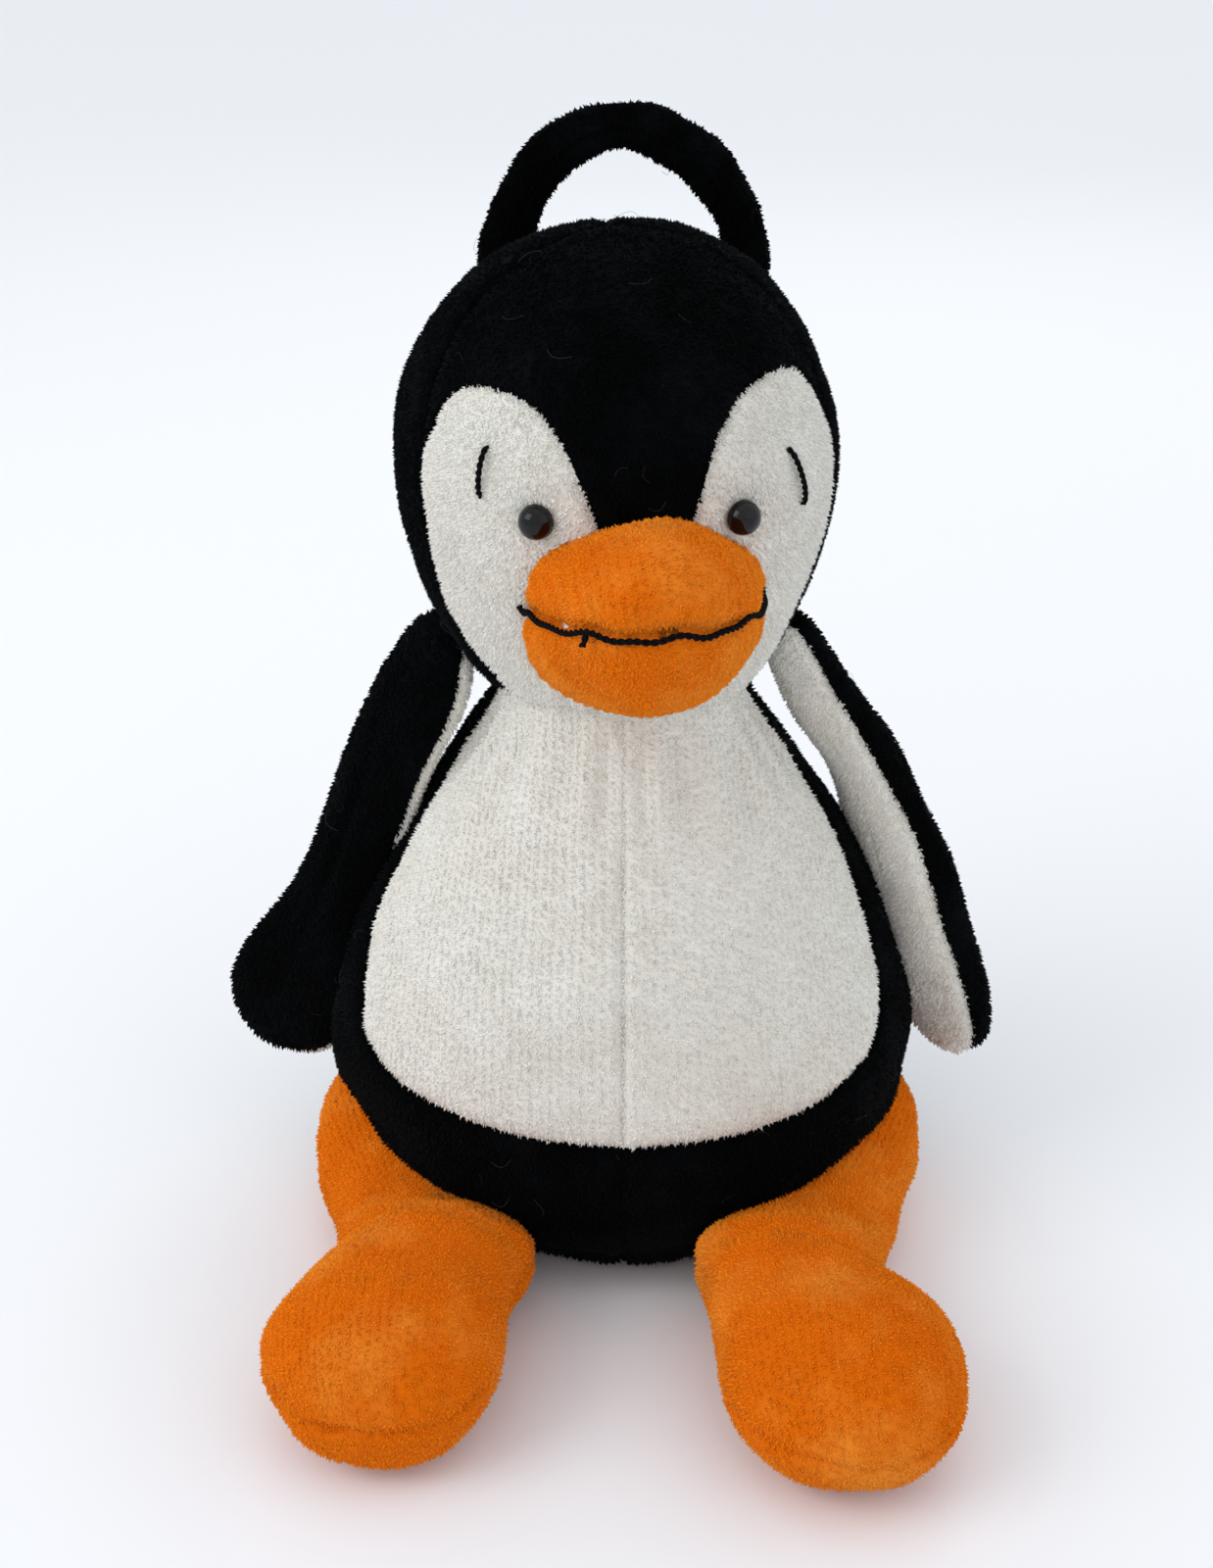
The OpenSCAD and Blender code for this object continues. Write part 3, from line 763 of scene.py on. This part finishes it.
def body():
    grid, across = body_grid()
    ends = np.array([[0, 0, BODY_START - 0.2], [0, 0, NECK_EDGE + 19]])
    label, end_labels = body_label(grid)
    mesh = sewn_form("body", grid, ends, label, end_labels, across, body_detail)
    pressed = read_points(mesh) / MM
    pressed[:, 2] = np.maximum(pressed[:, 2], 1.0)
    write_points(mesh, pressed)
    names = ["belly_left", "belly_right", "body_side_left", "body_side_right", "seat_panel"]
    panels = cut_panels(mesh, names, bare=lambda p, n: (p[:, 2] < 3) & (n[:, 2] < -0.6))
    for number, piece in enumerate(panels):
        slot = "white_velour" if number < 2 else "black_velour"
        with_pile(piece, slot, 11 + number)
        if number < 4:
            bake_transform(piece)
        else:
            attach(piece, "torso")
    inside = grid[2:-3:2, ::2]
    tips = np.array([[0, 0, inside[0, 0, 2] - 0.1], [0, 0, inside[-1, 0, 2] + 1]])
    stuffing("body_stuffing", "torso", inside, tips)
    ring = np.array([[math.sin(a), -math.cos(a), 0] for a in np.linspace(0, 2 * math.pi, 33)[:-1]])
    low, high = box_of("neck_stuffing")
    radius = (high[0] - low[0]) / 2
    heights = np.linspace(low[2] + 3, high[2] + 4, 8)
    plug = np.array([ring * radius * (1 + 0.02 * math.sin(k)) + [0, 0, z] for k, z in enumerate(heights)])
    stuffing("neck_stuffing", "neck", plug, np.array([[0, 0, heights[0] - 2], [0, 0, heights[-1] + 2]]))


# ---------------------------------------------------------------- head

HEAD_TURN = 7
HEAD_TIP = -1.5
HEAD_PIVOT = (neck_pivot + pivot_of("head_nod")) / 2
HEAD_SIDE = (head_high[0] - head_low[0]) / 2
HEAD_FRONT, HEAD_BACK = HEAD_SIDE - 0.5, HEAD_SIDE - 2.5
HEAD_UP, HEAD_DOWN = HEAD_SIDE + 1.5, HEAD_SIDE + 17.5
HEAD_MIDDLE = head_high[2] - HEAD_UP
HEAD_EDGE = math.degrees(math.asin((NECK_EDGE + 11 - HEAD_MIDDLE) / HEAD_DOWN))
# Angle round from the front, elevation of the white cheeks' upper edge
CHEEK_EDGE = [
    [0, -12], [11, -5], [13.7, 0], [15, 6], [17.5, 12.5], [22, 19], [28, 25], [40, 28.5], [54, 28],
    [61, 22], [67.5, 8], [80, 2], [180, 0],
]
HEAD_COLUMNS = 96
UNDER_ROWS, CHEEK_ROWS = 2, 19
EAR_TURN = 67.5
EYES = {LEFT: (-26.8, -1.0), RIGHT: (25.0, -2.4)}
EYE_RADIUS = 4.0


def posed(points):
    """Points of the upright head, turned and tipped as it sits on the neck."""
    return turned(turned(points, HEAD_TURN, "Z", HEAD_PIVOT), HEAD_TIP, "Y", HEAD_PIVOT)


def on_head(turn, rise, out=0.0):
    """Points on the upright head at angles round from the front and elevations."""
    turn, rise = np.radians(turn), np.radians(rise)
    deep = np.where(np.cos(turn) > 0, HEAD_FRONT, HEAD_BACK) + out
    tall = np.where(rise > 0, HEAD_UP, HEAD_DOWN) + out
    return np.stack([
        (HEAD_SIDE + out) * np.cos(rise) * np.sin(turn),
        -deep * np.cos(rise) * np.cos(turn),
        HEAD_MIDDLE + tall * np.sin(rise),
    ], -1)


def face_depth(x, z):
    """How far forward the upright face is at a side offset and a height."""
    tall = np.where(z > HEAD_MIDDLE, HEAD_UP, HEAD_DOWN)
    inside = 1 - (x / HEAD_SIDE) ** 2 - ((z - HEAD_MIDDLE) / tall) ** 2
    return -HEAD_FRONT * np.sqrt(np.maximum(inside, 0))


def head_grid():
    nominal = signed_turns(HEAD_COLUMNS)
    edge = through(CHEEK_EDGE, np.abs(nominal))[:, 0]
    low = np.linspace(0, 1, CHEEK_ROWS)[:, None]
    high = np.linspace(0, 1, 19)[1:, None]
    rise = np.vstack([HEAD_EDGE + (edge - HEAD_EDGE) * low, edge + (86 - edge) * high])
    share = np.minimum(np.abs(nominal) / EAR_TURN, (180 - np.abs(nominal)) / (180 - EAR_TURN))
    turn = nominal - np.sign(nominal) * 6.5 * share * rise_between(-8, -42, rise)
    grid = on_head(turn, rise, -HEAD_ROOM)
    rim = grid[0]
    middle = rim.mean(0)
    under = [middle + (rim - middle) * share + [0, 0, lift] for share, lift in ((0.35, 5), (0.75, 3.5))]
    return np.concatenate([np.array(under), grid]), middle + [0, 0, 5.5]


def head_label(rows):
    middle = middle_turns(HEAD_COLUMNS)
    cheek = np.where(middle < 0, 0, 1)
    back = np.where(middle < 0, 3, 4)
    face = np.abs(middle) < EAR_TURN
    label = back[None].repeat(rows - 1, 0)
    edge = UNDER_ROWS + CHEEK_ROWS - 1
    label[:edge, face] = cheek[face]
    label[edge:, face] = 2
    return label, [np.where(face, cheek, back), np.where(face, 2, back)]


def eye_place(side):
    """Where an eye's stem goes through the posed head, and the way that it faces."""
    turn, rise = EYES[side]
    here, out = (posed(on_head(np.array([turn]), np.array([rise]), o))[0] for o in (0.0, 1.0))
    way = out - here
    way[2] *= 0.4
    return here, way / np.linalg.norm(way)


def head_detail(points, normals, across):
    drawn_in = sum(
        -1.7 * hill(np.linalg.norm(points - eye_place(side)[0], axis=1), 0, 6.0) for side in EYES
    )
    sag = ripple(points, 26, 41) * 0.7 + ripple(points, 11, 42) * 0.2
    chin = points - posed(np.array([[0, -HEAD_FRONT * 0.75, NECK_EDGE + 18]]))[0]
    tucks = np.cos(chin[:, 0] * 0.9) * hill(np.linalg.norm(chin, axis=1), 16, 12) * 0.35
    return drawn_in + sag + tucks


def head():
    grid, under = head_grid()
    grid = posed(grid)
    ends = posed(np.array([under, [0, 0, HEAD_MIDDLE + HEAD_UP - 1]]))
    label, end_labels = head_label(len(grid))
    turns = np.radians(signed_turns(HEAD_COLUMNS))
    across = turns * HEAD_SIDE * np.ones((len(grid), 1))
    mesh = sewn_form("head", grid, ends, label, end_labels, across, head_detail)
    names = ["cheek_left", "cheek_right", "head_crown", "head_back_left", "head_back_right"]
    hidden = posed(np.array([[0, 0, NECK_EDGE + 13]]))[0][2]
    panels = cut_panels(mesh, names, bare=lambda p, n: (p[:, 2] < hidden + 4) & (n[:, 2] < -0.75))
    for number, piece in enumerate(panels):
        if number < 2:
            with_pile(piece, "white_velour", 21 + number, depth=0.2)
        else:
            with_pile(piece, "black_velour", 21 + number)
        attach(piece, "head")
    inside = grid[2:-2:2, ::2]
    stuffing("head_stuffing", "head", inside,
             np.array([inside[0].mean(0), inside[-1].mean(0) + [0, 0, 1]]))


# ---------------------------------------------------------------- beak

BEAK_HALF_WIDTH = 27.0
BEAK_UP, BEAK_DOWN = 21.5, 28.0
BEAK_LENGTH = 35.0
BEAK_LIFT = 7.0
MOUTH_HEIGHT = HEAD_MIDDLE - 22.5
BEAK_COLUMNS = 64


def beak_grid():
    """The beak on the upright head: rows from inside the face to the tip, columns round the mouth line."""
    angle = np.arange(BEAK_COLUMNS) * 2 * math.pi / BEAK_COLUMNS
    share = np.linspace(0, 0.97, 15)[:, None]
    wide = np.cos(share * math.pi / 2) ** 0.86
    out = np.sin(share * math.pi / 2) ** 1.06
    x = BEAK_HALF_WIDTH * np.cos(angle) * wide
    tall = np.where(np.sin(angle) > 0, BEAK_UP, BEAK_DOWN)
    low = MOUTH_HEIGHT + tall * np.sin(angle) * wide
    y = face_depth(x, low) - (BEAK_LENGTH - 1.5) * out
    grid = np.stack([x, y, low + BEAK_LIFT * out], -1)
    root = grid[0] * [0.96, 1, 1] + [0, 5, 0]
    tip = np.array([0, y[-1].mean() - 0.6, MOUTH_HEIGHT + BEAK_LIFT])
    return np.concatenate([root[None], grid]), np.array([root.mean(0) + [0, 2, 0], tip])


def beak_detail(points, normals, across):
    upright = turned(points, -HEAD_TURN, "Z", HEAD_PIVOT)
    pinch = -1.1 * rise_between(19, 27, np.abs(upright[:, 0])) * hill(upright[:, 2], MOUTH_HEIGHT + 2, 7)
    folds = ripple(points * [1, 1, 0.5], 9, 51) * 0.35 + ripple(points, 18, 52) * 0.5
    return pinch + folds


def beak():
    grid, ends = beak_grid()
    rows = len(grid)
    upper = np.arange(BEAK_COLUMNS) < BEAK_COLUMNS // 2
    label = np.where(upper, 0, 1)[None].repeat(rows - 1, 0)
    across = grid[..., 0].copy()
    shape = posed(grid)
    mesh = sewn_form("beak", shape, posed(ends), label, [label[0], label[0]], across, beak_detail,
                     groove=(1.9, 2.6))
    for number, piece in enumerate(cut_panels(mesh, ["beak_upper", "beak_lower"])):
        with_pile(piece, "orange_velour", 31 + number, length=0.85, comb=(0.0, -0.15, -0.3), depth=0.55)
        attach(piece, "head")
    inside = posed(grid[1:-1:2, ::2])
    stuffing("beak_stuffing", "head", inside, np.array([inside[0].mean(0), inside[-1].mean(0)]),
             inset=3.0, lumps=0.5)


# ---------------------------------------------------------------- thread, eyes and brows

def thread_tree():
    """Two strands twisted together along a path."""
    tree = new_tree(
        "plied thread", ("Thickness", "Float", 0.0015), ("Twist", "Float", 0.004),
        ("Material", "Material", None),
    )
    given = add(tree, "NodeGroupInput").outputs
    curve = add(tree, "GeometryNodeMeshToCurve", {"Mesh": given["Geometry"]}).outputs[0]
    even = add(
        tree, "GeometryNodeResampleCurve",
        {"Curve": curve, "Length": math_node(tree, "MULTIPLY", given["Twist"], 0.11)}, mode="LENGTH",
    ).outputs[0]
    along = add(tree, "GeometryNodeSplineParameter").outputs["Length"]
    tangent = add(tree, "GeometryNodeInputTangent").outputs[0]
    normal = add(tree, "GeometryNodeInputNormal").outputs[0]
    side = vector_node(tree, "CROSS_PRODUCT", tangent, normal)
    turn = math_node(tree, "MULTIPLY", math_node(tree, "DIVIDE", along, given["Twist"]), 2 * math.pi)
    circle = add(
        tree, "GeometryNodeCurvePrimitiveCircle",
        {"Resolution": 7, "Radius": math_node(tree, "MULTIPLY", given["Thickness"], 0.29)},
    ).outputs[0]
    joined = add(tree, "GeometryNodeJoinGeometry")
    for start in (0.0, math.pi):
        phase = math_node(tree, "ADD", turn, start)
        reach = math_node(tree, "MULTIPLY", given["Thickness"], 0.23)
        parts = [
            add(tree, "ShaderNodeVectorMath",
                {0: way, "Scale": math_node(tree, "MULTIPLY", math_node(tree, wave, phase), reach)},
                operation="SCALE").outputs[0]
            for way, wave in ((normal, "COSINE"), (side, "SINE"))
        ]
        strand = add(
            tree, "GeometryNodeSetPosition", {"Geometry": even, "Offset": vector_node(tree, "ADD", *parts)}
        ).outputs[0]
        tube = add(
            tree, "GeometryNodeCurveToMesh",
            {"Curve": strand, "Profile Curve": circle, "Fill Caps": True},
        ).outputs[0]
        tree.links.new(tube, joined.inputs[0])
    real = add(tree, "GeometryNodeRealizeInstances", {"Geometry": joined.outputs[0]}).outputs[0]
    soft = add(tree, "GeometryNodeSetShadeSmooth", {"Geometry": real}).outputs[0]
    dyed = add(
        tree, "GeometryNodeSetMaterial", {"Geometry": soft, "Material": given["Material"]}
    ).outputs[0]
    add(tree, "NodeGroupOutput", {0: dyed})
    return tree


THREAD = thread_tree()


def thread_piece(node, paths, thickness):
    """A sewn thread in place of a node. Each path is a run of points."""
    points = np.vstack(paths)
    mesh = bpy.data.meshes.new(node + "_thread")
    edges, first = [], 0
    for path in paths:
        edges += [(first + i, first + i + 1) for i in range(len(path) - 1)]
        first += len(path)
    mesh.from_pydata((points * MM).tolist(), edges, [])
    piece = piece_of(node + "_thread", mesh)
    apply_tree(piece, THREAD, {
        "Thickness": thickness * MM, "Twist": thickness * 2.4 * MM, "Material": YARN,
    })
    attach(piece, "head")
    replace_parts(piece, node)


MOUTH_YARN, BROW_THREAD = 1.5, 1.35


def mouth():
    angle = np.radians(np.linspace(-87, 87, 60))
    x = (BEAK_HALF_WIDTH - 0.6) * np.sin(angle)
    out = np.cos(angle)
    wobble = 0.5 * np.sin(angle * 9 + 1) + 0.35 * np.sin(angle * 17)
    y = face_depth(x, np.full_like(x, MOUTH_HEIGHT)) - (BEAK_LENGTH - 1.2) * out - 0.3
    line = np.stack([x, y, MOUTH_HEIGHT + BEAK_LIFT * out + wobble], -1)
    tuck = line[:1] + [[-0.8, 3.5, 0.4]], line[-1:] + [[0.8, 3.5, 0.4]]
    tail_start = line[17]
    tail = np.array([tail_start, tail_start + [-0.6, -0.5, -1.4], tail_start + [-1.2, -0.3, -3.0]])
    thread_piece("mouth_stitch", [posed(np.vstack([tuck[0], line, tuck[1]])), posed(tail)], MOUTH_YARN)


def brows():
    spots = {
        LEFT: ((-40.3, 15.0), (-40.9, 9.6), (-41.7, 3.2)),
        RIGHT: ((40.4, 10.4), (42.7, 3.3), (45.7, -3.4)),
    }
    for name, side in SIDES:
        bend = through([[k, *spot] for k, spot in enumerate(spots[side])], np.linspace(0, 2, 12))
        out = 1.6 * np.sqrt(np.sin(np.linspace(0, math.pi, 12))) - 0.7
        thread_piece(f"brow_stitch_{name}", [posed(on_head(bend[:, 0], bend[:, 1], out))], BROW_THREAD)


# Radius and height above the cloth along an eye, from the dome's top to the stem's end
EYE_PROFILE = [
    (0.42, 0.99), (0.74, 0.80), (0.94, 0.42), (1.0, 0.08), (0.99, -0.08), (0.9, -0.2), (0.5, -0.25),
    (0.37, -0.32), (0.37, -1.4), (0.37, -2.25),
]


def eyes():
    for name, side in SIDES:
        here, way = eye_place(side)
        across = crossed(np.array([0, 0, 1.0]), way)
        up = crossed(way, across)
        spin = np.arange(40) * 2 * math.pi / 40
        ring = np.cos(spin)[:, None] * across + np.sin(spin)[:, None] * up
        base = here - way * 1.3
        grid = np.array([
            base + ring * r * EYE_RADIUS + way * h * EYE_RADIUS * 0.92 for r, h in EYE_PROFILE
        ])
        ends = np.array([base + way * EYE_RADIUS * 1.0, base - way * EYE_RADIUS * 2.1])
        piece = piece_of(f"eye_{name}_dome", loft(f"eye_{name}_dome", grid, ends))
        smooth = piece.modifiers.new("smooth", "SUBSURF")
        smooth.levels = smooth.render_levels = 2
        finish_modifiers(piece)
        piece.data.materials.append(EYE_GLOSS)
        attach(piece, "head")
        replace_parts(piece, f"eye_{name}")
        washer = frame["nodes"][f"eye_washer_{name}"]
        washer.data.materials.clear()
        washer.data.materials.append(WASHER_PLASTIC)


# ---------------------------------------------------------------- carrying loop

# Share of the way, middle, half width, half thickness, twist of the flat strip
LOOP = [
    [0, -25, 40.5, 206, 6.6, 3.0, 10], [0.04, -26, 45.5, 213, 6.8, 3.2, 10],
    [0.13, -28, 40, 232, 6.8, 2.9, 6],
    [0.3, -23, 35, 250, 6.5, 2.6, -4],
    [0.42, -12, 35, 261, 6.0, 2.6, -8], [0.55, 1.5, 35, 264.5, 5.6, 2.8, 4],
    [0.7, 16, 35.5, 259, 6.2, 2.6, 14],
    [0.8, 24.5, 36, 249.5, 5.6, 2.8, 22], [0.9, 29.5, 38, 236, 5.8, 3.0, 8],
    [0.965, 30.5, 43, 214, 6.5, 3.1, 3], [1, 30, 38.5, 206, 6.6, 3.0, 0],
]


def swept(rows, shares, columns, flat_way, power=1.0):
    """A grid of rings along a path. flat_way gives the way that the flat side of each ring faces."""
    found = through(rows, shares)
    path = found[:, :3]
    along = np.gradient(path, axis=0)
    along /= np.linalg.norm(along, axis=1, keepdims=True)
    out = flat_way(found)
    out -= (out * along).sum(1, keepdims=True) * along
    out /= np.linalg.norm(out, axis=1, keepdims=True)
    side = np.cross(along, out)
    angle = np.arange(columns) * 2 * math.pi / columns
    c, s = (np.sign(v) * np.abs(v) ** power for v in (np.cos(angle), np.sin(angle)))
    grid = (path[:, None] + out[:, None] * (found[:, 4, None] * c)[..., None]
            + side[:, None] * (found[:, 3, None] * s)[..., None])
    return grid, angle


def loop_detail(points, normals, across):
    fold = -0.9 * hill(np.abs(across), 5.6, 0.8)
    kinks = ripple(points * [1, 0.6, 1], 10, 61) * 0.6
    return fold + kinks


def loop():
    shares = np.linspace(0, 1, 52)

    def faces_back(found):
        twist = np.radians(found[:, 5])
        return np.stack([np.sin(twist), np.cos(twist), 0 * twist], -1)

    grid, angle = swept(LOOP, shares, 28, faces_back, 0.85)
    signed = np.where(angle > math.pi, angle - 2 * math.pi, angle)
    across = np.broadcast_to(signed * 3.6, grid.shape[:2]).copy()
    label = np.zeros((len(grid) - 1, 28), int)
    ends = np.array([grid[0].mean(0) - [0, 0, 1], grid[-1].mean(0) - [0, 0, 1]])
    mesh = sewn_form("loop", grid, ends, label, [label[0], label[0]], across, loop_detail)
    piece, = cut_panels(mesh, ["carry_loop"])
    with_pile(piece, "loop_fabric", 41)
    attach(piece, "loop")


# ---------------------------------------------------------------- flippers

# Share of the way from shoulder to tip, middle, half width, half thickness, way the flat side faces
FLIPPERS = {
    LEFT: [
        [0, -40, 2, 153, 4, 3, 215], [0.05, -43.5, 1, 149, 10, 5, 217], [0.15, -48, 0, 138, 13, 7, 220],
        [0.3, -55, -1, 122, 12, 7, 225], [0.5, -64, -2, 100, 12, 7, 235], [0.68, -72, -4, 77, 14.5, 7, 243],
        [0.82, -80, -5, 61, 17.5, 6.5, 245], [0.93, -87.5, -5, 49, 16.5, 5.5, 245],
        [0.98, -91.5, -5, 42.5, 11, 4, 245], [1, -93.5, -5, 39.5, 3, 2, 245],
    ],
    RIGHT: [
        [0, 36, 2, 153, 4, 3, 45], [0.05, 41, 1, 149, 8, 5, 45], [0.17, 48.5, 0, 135, 10, 6, 45],
        [0.33, 59, -1, 119, 9, 6, 45], [0.5, 68.5, -2, 98, 13, 7, 45], [0.68, 75, -4, 75, 15, 7.5, 45],
        [0.84, 82.5, -5, 54, 14, 7, 45], [0.94, 87.5, -5, 42, 10, 5.5, 45], [1, 90, -5, 36.5, 3, 2, 45],
    ],
}

# Angles round a flipper from its flat side between which it is black
BLACK_ROUND = {LEFT: (-80, 90), RIGHT: (-90, 130)}


def flipper(name, side):
    def flat_way(found):
        way = np.radians(found[:, 5])
        return np.stack([np.cos(way), np.sin(way), 0 * way], -1)

    shares = 0.5 - 0.5 * np.cos(np.linspace(0.12, math.pi - 0.12, 30))
    grid, angle = swept(FLIPPERS[side], shares, 40, flat_way)
    signed = np.degrees(np.where(angle > math.pi, angle - 2 * math.pi, angle))
    middle = signed + 180 / 40
    outer = (middle > BLACK_ROUND[side][0]) & (middle < BLACK_ROUND[side][1])
    label = np.where(outer, 0, 1)[None].repeat(len(grid) - 1, 0)
    across = np.broadcast_to(np.radians(signed) * 12, grid.shape[:2]).copy()
    rows = FLIPPERS[side]
    ends = np.array([rows[0][1:4], rows[-1][1:4]], float)

    def detail(points, normals, across):
        crease = -1.5 * hill(across, 2.5, 2.2) * hill(points[:, 2], 95, 30)
        lumps = ripple(points * [1, 1, 0.5], 13, 71 + side) * 0.9
        return crease + lumps

    mesh = sewn_form(f"flipper_{name}", grid, ends, label, [label[0], label[0]], across, detail)
    outer, lining = cut_panels(mesh, [f"flipper_{name}_outer", f"flipper_{name}_lining"])
    with_pile(outer, "black_velour", 51 + side)
    with_pile(lining, "white_velour", 61 + side, depth=0.2)
    for piece in (outer, lining):
        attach(piece, f"flipper_{name}")
    inside = grid[2:-2:2, ::2]
    stuffing(f"flipper_{name}_batting", f"flipper_{name}", inside,
             np.array([inside[0].mean(0), inside[-1].mean(0)]), inset=2.6, lumps=0.4)


# ---------------------------------------------------------------- legs

# Distance along from back to front, middle's side offset and height, half width, half height
LEGS = {
    LEFT: [
        [-130.5, -53, 18, 3, 3], [-128, -53, 18, 15, 11], [-121, -53, 19, 23, 16.5],
        [-110, -53, 19.5, 28, 19],
        [-97, -53, 19.5, 28, 19], [-88, -51, 19.3, 26.3, 18], [-78, -46.5, 19, 23.3, 16.8],
        [-70, -44, 17.5, 23.5, 15], [-60, -46, 15.5, 24, 12.8], [-46, -54, 15, 21.5, 13],
        [-30, -61, 17, 18, 14.5], [-15, -65, 20, 14, 15.5], [-4, -64, 22, 10, 12], [4, -62, 22, 3, 3],
    ],
    RIGHT: [
        [-141.5, 49, 18, 3, 3], [-138.5, 49, 18, 12, 9], [-133, 48.7, 18.5, 20, 14],
        [-125, 48.3, 19, 26, 17.5],
        [-117, 48.5, 19.5, 28.2, 19.5], [-106, 48, 19.5, 28.5, 19.3], [-95, 46.5, 19.2, 26.6, 18.3],
        [-87, 43, 19, 23, 17], [-80, 40.7, 19, 22, 16.5], [-72, 40.2, 17.5, 23.4, 15],
        [-62, 41.5, 15.5, 24.5, 12.8], [-49, 49, 15, 22, 13], [-30, 58.5, 17, 18.5, 14.5],
        [-15, 64, 20, 14.5, 15.5], [-4, 64, 22, 10, 12], [4, 62, 22, 3, 3],
    ],
}


def leg(name, side):
    rows = LEGS[side]
    start, stop = rows[0][0], rows[-1][0]
    s = 0.5 - 0.5 * np.cos(np.linspace(0.1, math.pi - 0.1, 34))
    along = start + (stop - start) * (0.6 * s + 0.4 * np.linspace(0.01, 0.99, 34))
    found = through(rows, along)
    angle = np.arange(48) * 2 * math.pi / 48
    signed = np.where(angle > math.pi, angle - 2 * math.pi, angle)
    grid = np.stack([
        found[:, 0, None] + (found[:, 2, None] - LEG_ROOM) * np.sin(angle),
        np.broadcast_to(along[:, None], (34, 48)),
        np.maximum(found[:, 1, None] + (found[:, 3, None] - LEG_ROOM) * np.cos(angle), 1.6),
    ], -1)
    ends = np.array([[rows[i][1], rows[i][0], rows[i][2]] for i in (0, -1)], float)
    across = signed * found[:, 2, None]
    top = np.abs(np.degrees(signed) + 3.75) < 90
    label = np.where(top, 0, 1)[None].repeat(33, 0)

    def detail(points, normals, across):
        x, y, z = points.T
        ankle = start + 60
        crease = -1.6 * hill(y + 0.25 * (x - side * 45), ankle, 4) * rise_between(14, 30, z)
        dimple = -1.5 * hill(np.hypot(x - side * 72, (y + 40) * 0.6), 0, 9)
        lumps = ripple(points, 22, 81 + side) * 0.9 + ripple(points, 9, 83 + side) * 0.3
        return crease + dimple + lumps

    mesh = sewn_form(f"leg_{name}", grid, ends, label, [label[0], label[0]], across, detail)
    pressed = read_points(mesh) / MM
    pressed[:, 2] = np.maximum(pressed[:, 2], 1.1)
    write_points(mesh, pressed)
    names = [f"leg_{name}_upper", f"leg_{name}_under"]
    panels = cut_panels(mesh, names, bare=lambda p, n: (p[:, 2] < 2.5) & (n[:, 2] < -0.7))
    for number, piece in enumerate(panels):
        with_pile(piece, "orange_velour", 71 + 2 * number + side)
        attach(piece, f"leg_{name}")
    inside = grid[2:-2:2, ::2]
    stuffing(f"leg_{name}_stuffing", f"leg_{name}", inside,
             np.array([inside[0].mean(0), inside[-1].mean(0)]), inset=4.6)


body()
head()
beak()
mouth()
brows()
eyes()
loop()
for name, side in SIDES:
    flipper(name, side)
    leg(name, side)


# ---------------------------------------------------------------- floor, light and camera

def pale(name, colour):
    material, tree, shader = new_material(name)
    cloud = noise(tree, 2.0)
    darker = tuple(c * 0.985 for c in colour)
    tree.links.new(mixed(tree, cloud, colour, darker), shader.inputs["Base Color"])
    shader.inputs["Roughness"].default_value = 0.9
    return material


FLOOR_REACH = 40000
CAMERA_PLACE = (-0.0038, -0.4931, 0.3403)
CAMERA_TILT = math.radians(65)


def studio():
    corners = [(x * FLOOR_REACH, y * FLOOR_REACH, 0) for x, y in ((-1, -1), (1, -1), (1, 1), (-1, 1))]
    floor = piece_of("floor", plain_mesh("floor", corners, [(0, 1, 2, 3)]))
    floor.data.materials.append(pale("pale floor", (0.915, 0.925, 0.94)))
    world = bpy.data.worlds.new("studio")
    world.use_nodes = True
    sky = next(n for n in world.node_tree.nodes if n.type == "BACKGROUND")
    sky.inputs["Color"].default_value = (0.93, 0.96, 1.0, 1.0)
    sky.inputs["Strength"].default_value = 0.95
    bpy.context.scene.world = world
    middle = Vector((0, 0, 0.11))
    for name, place, size, power in (
        ("key", (-1.15, -0.6, 1.0), 0.9, 6), ("fill", (0.95, -0.8, 0.7), 1.1, 0.6),
        ("rim", (0.3, 1.1, 0.9), 0.8, 1.2),
    ):
        lamp = bpy.data.lights.new(name, "AREA")
        lamp.energy = power
        lamp.size = size
        light = bpy.data.objects.new(name, lamp)
        light.location = place
        light.rotation_euler = (middle - Vector(place)).to_track_quat("-Z", "Y").to_euler()
        bpy.context.scene.collection.objects.link(light)
    lens = bpy.data.cameras.new("camera")
    lens.lens = 50
    lens.sensor_width = 36
    camera = bpy.data.objects.new("camera", lens)
    camera.location = CAMERA_PLACE
    camera.rotation_euler = (CAMERA_TILT, 0, 0)
    bpy.context.scene.collection.objects.link(camera)
    bpy.context.scene.camera = camera
    bpy.context.scene.view_settings.view_transform = "Standard"


studio()
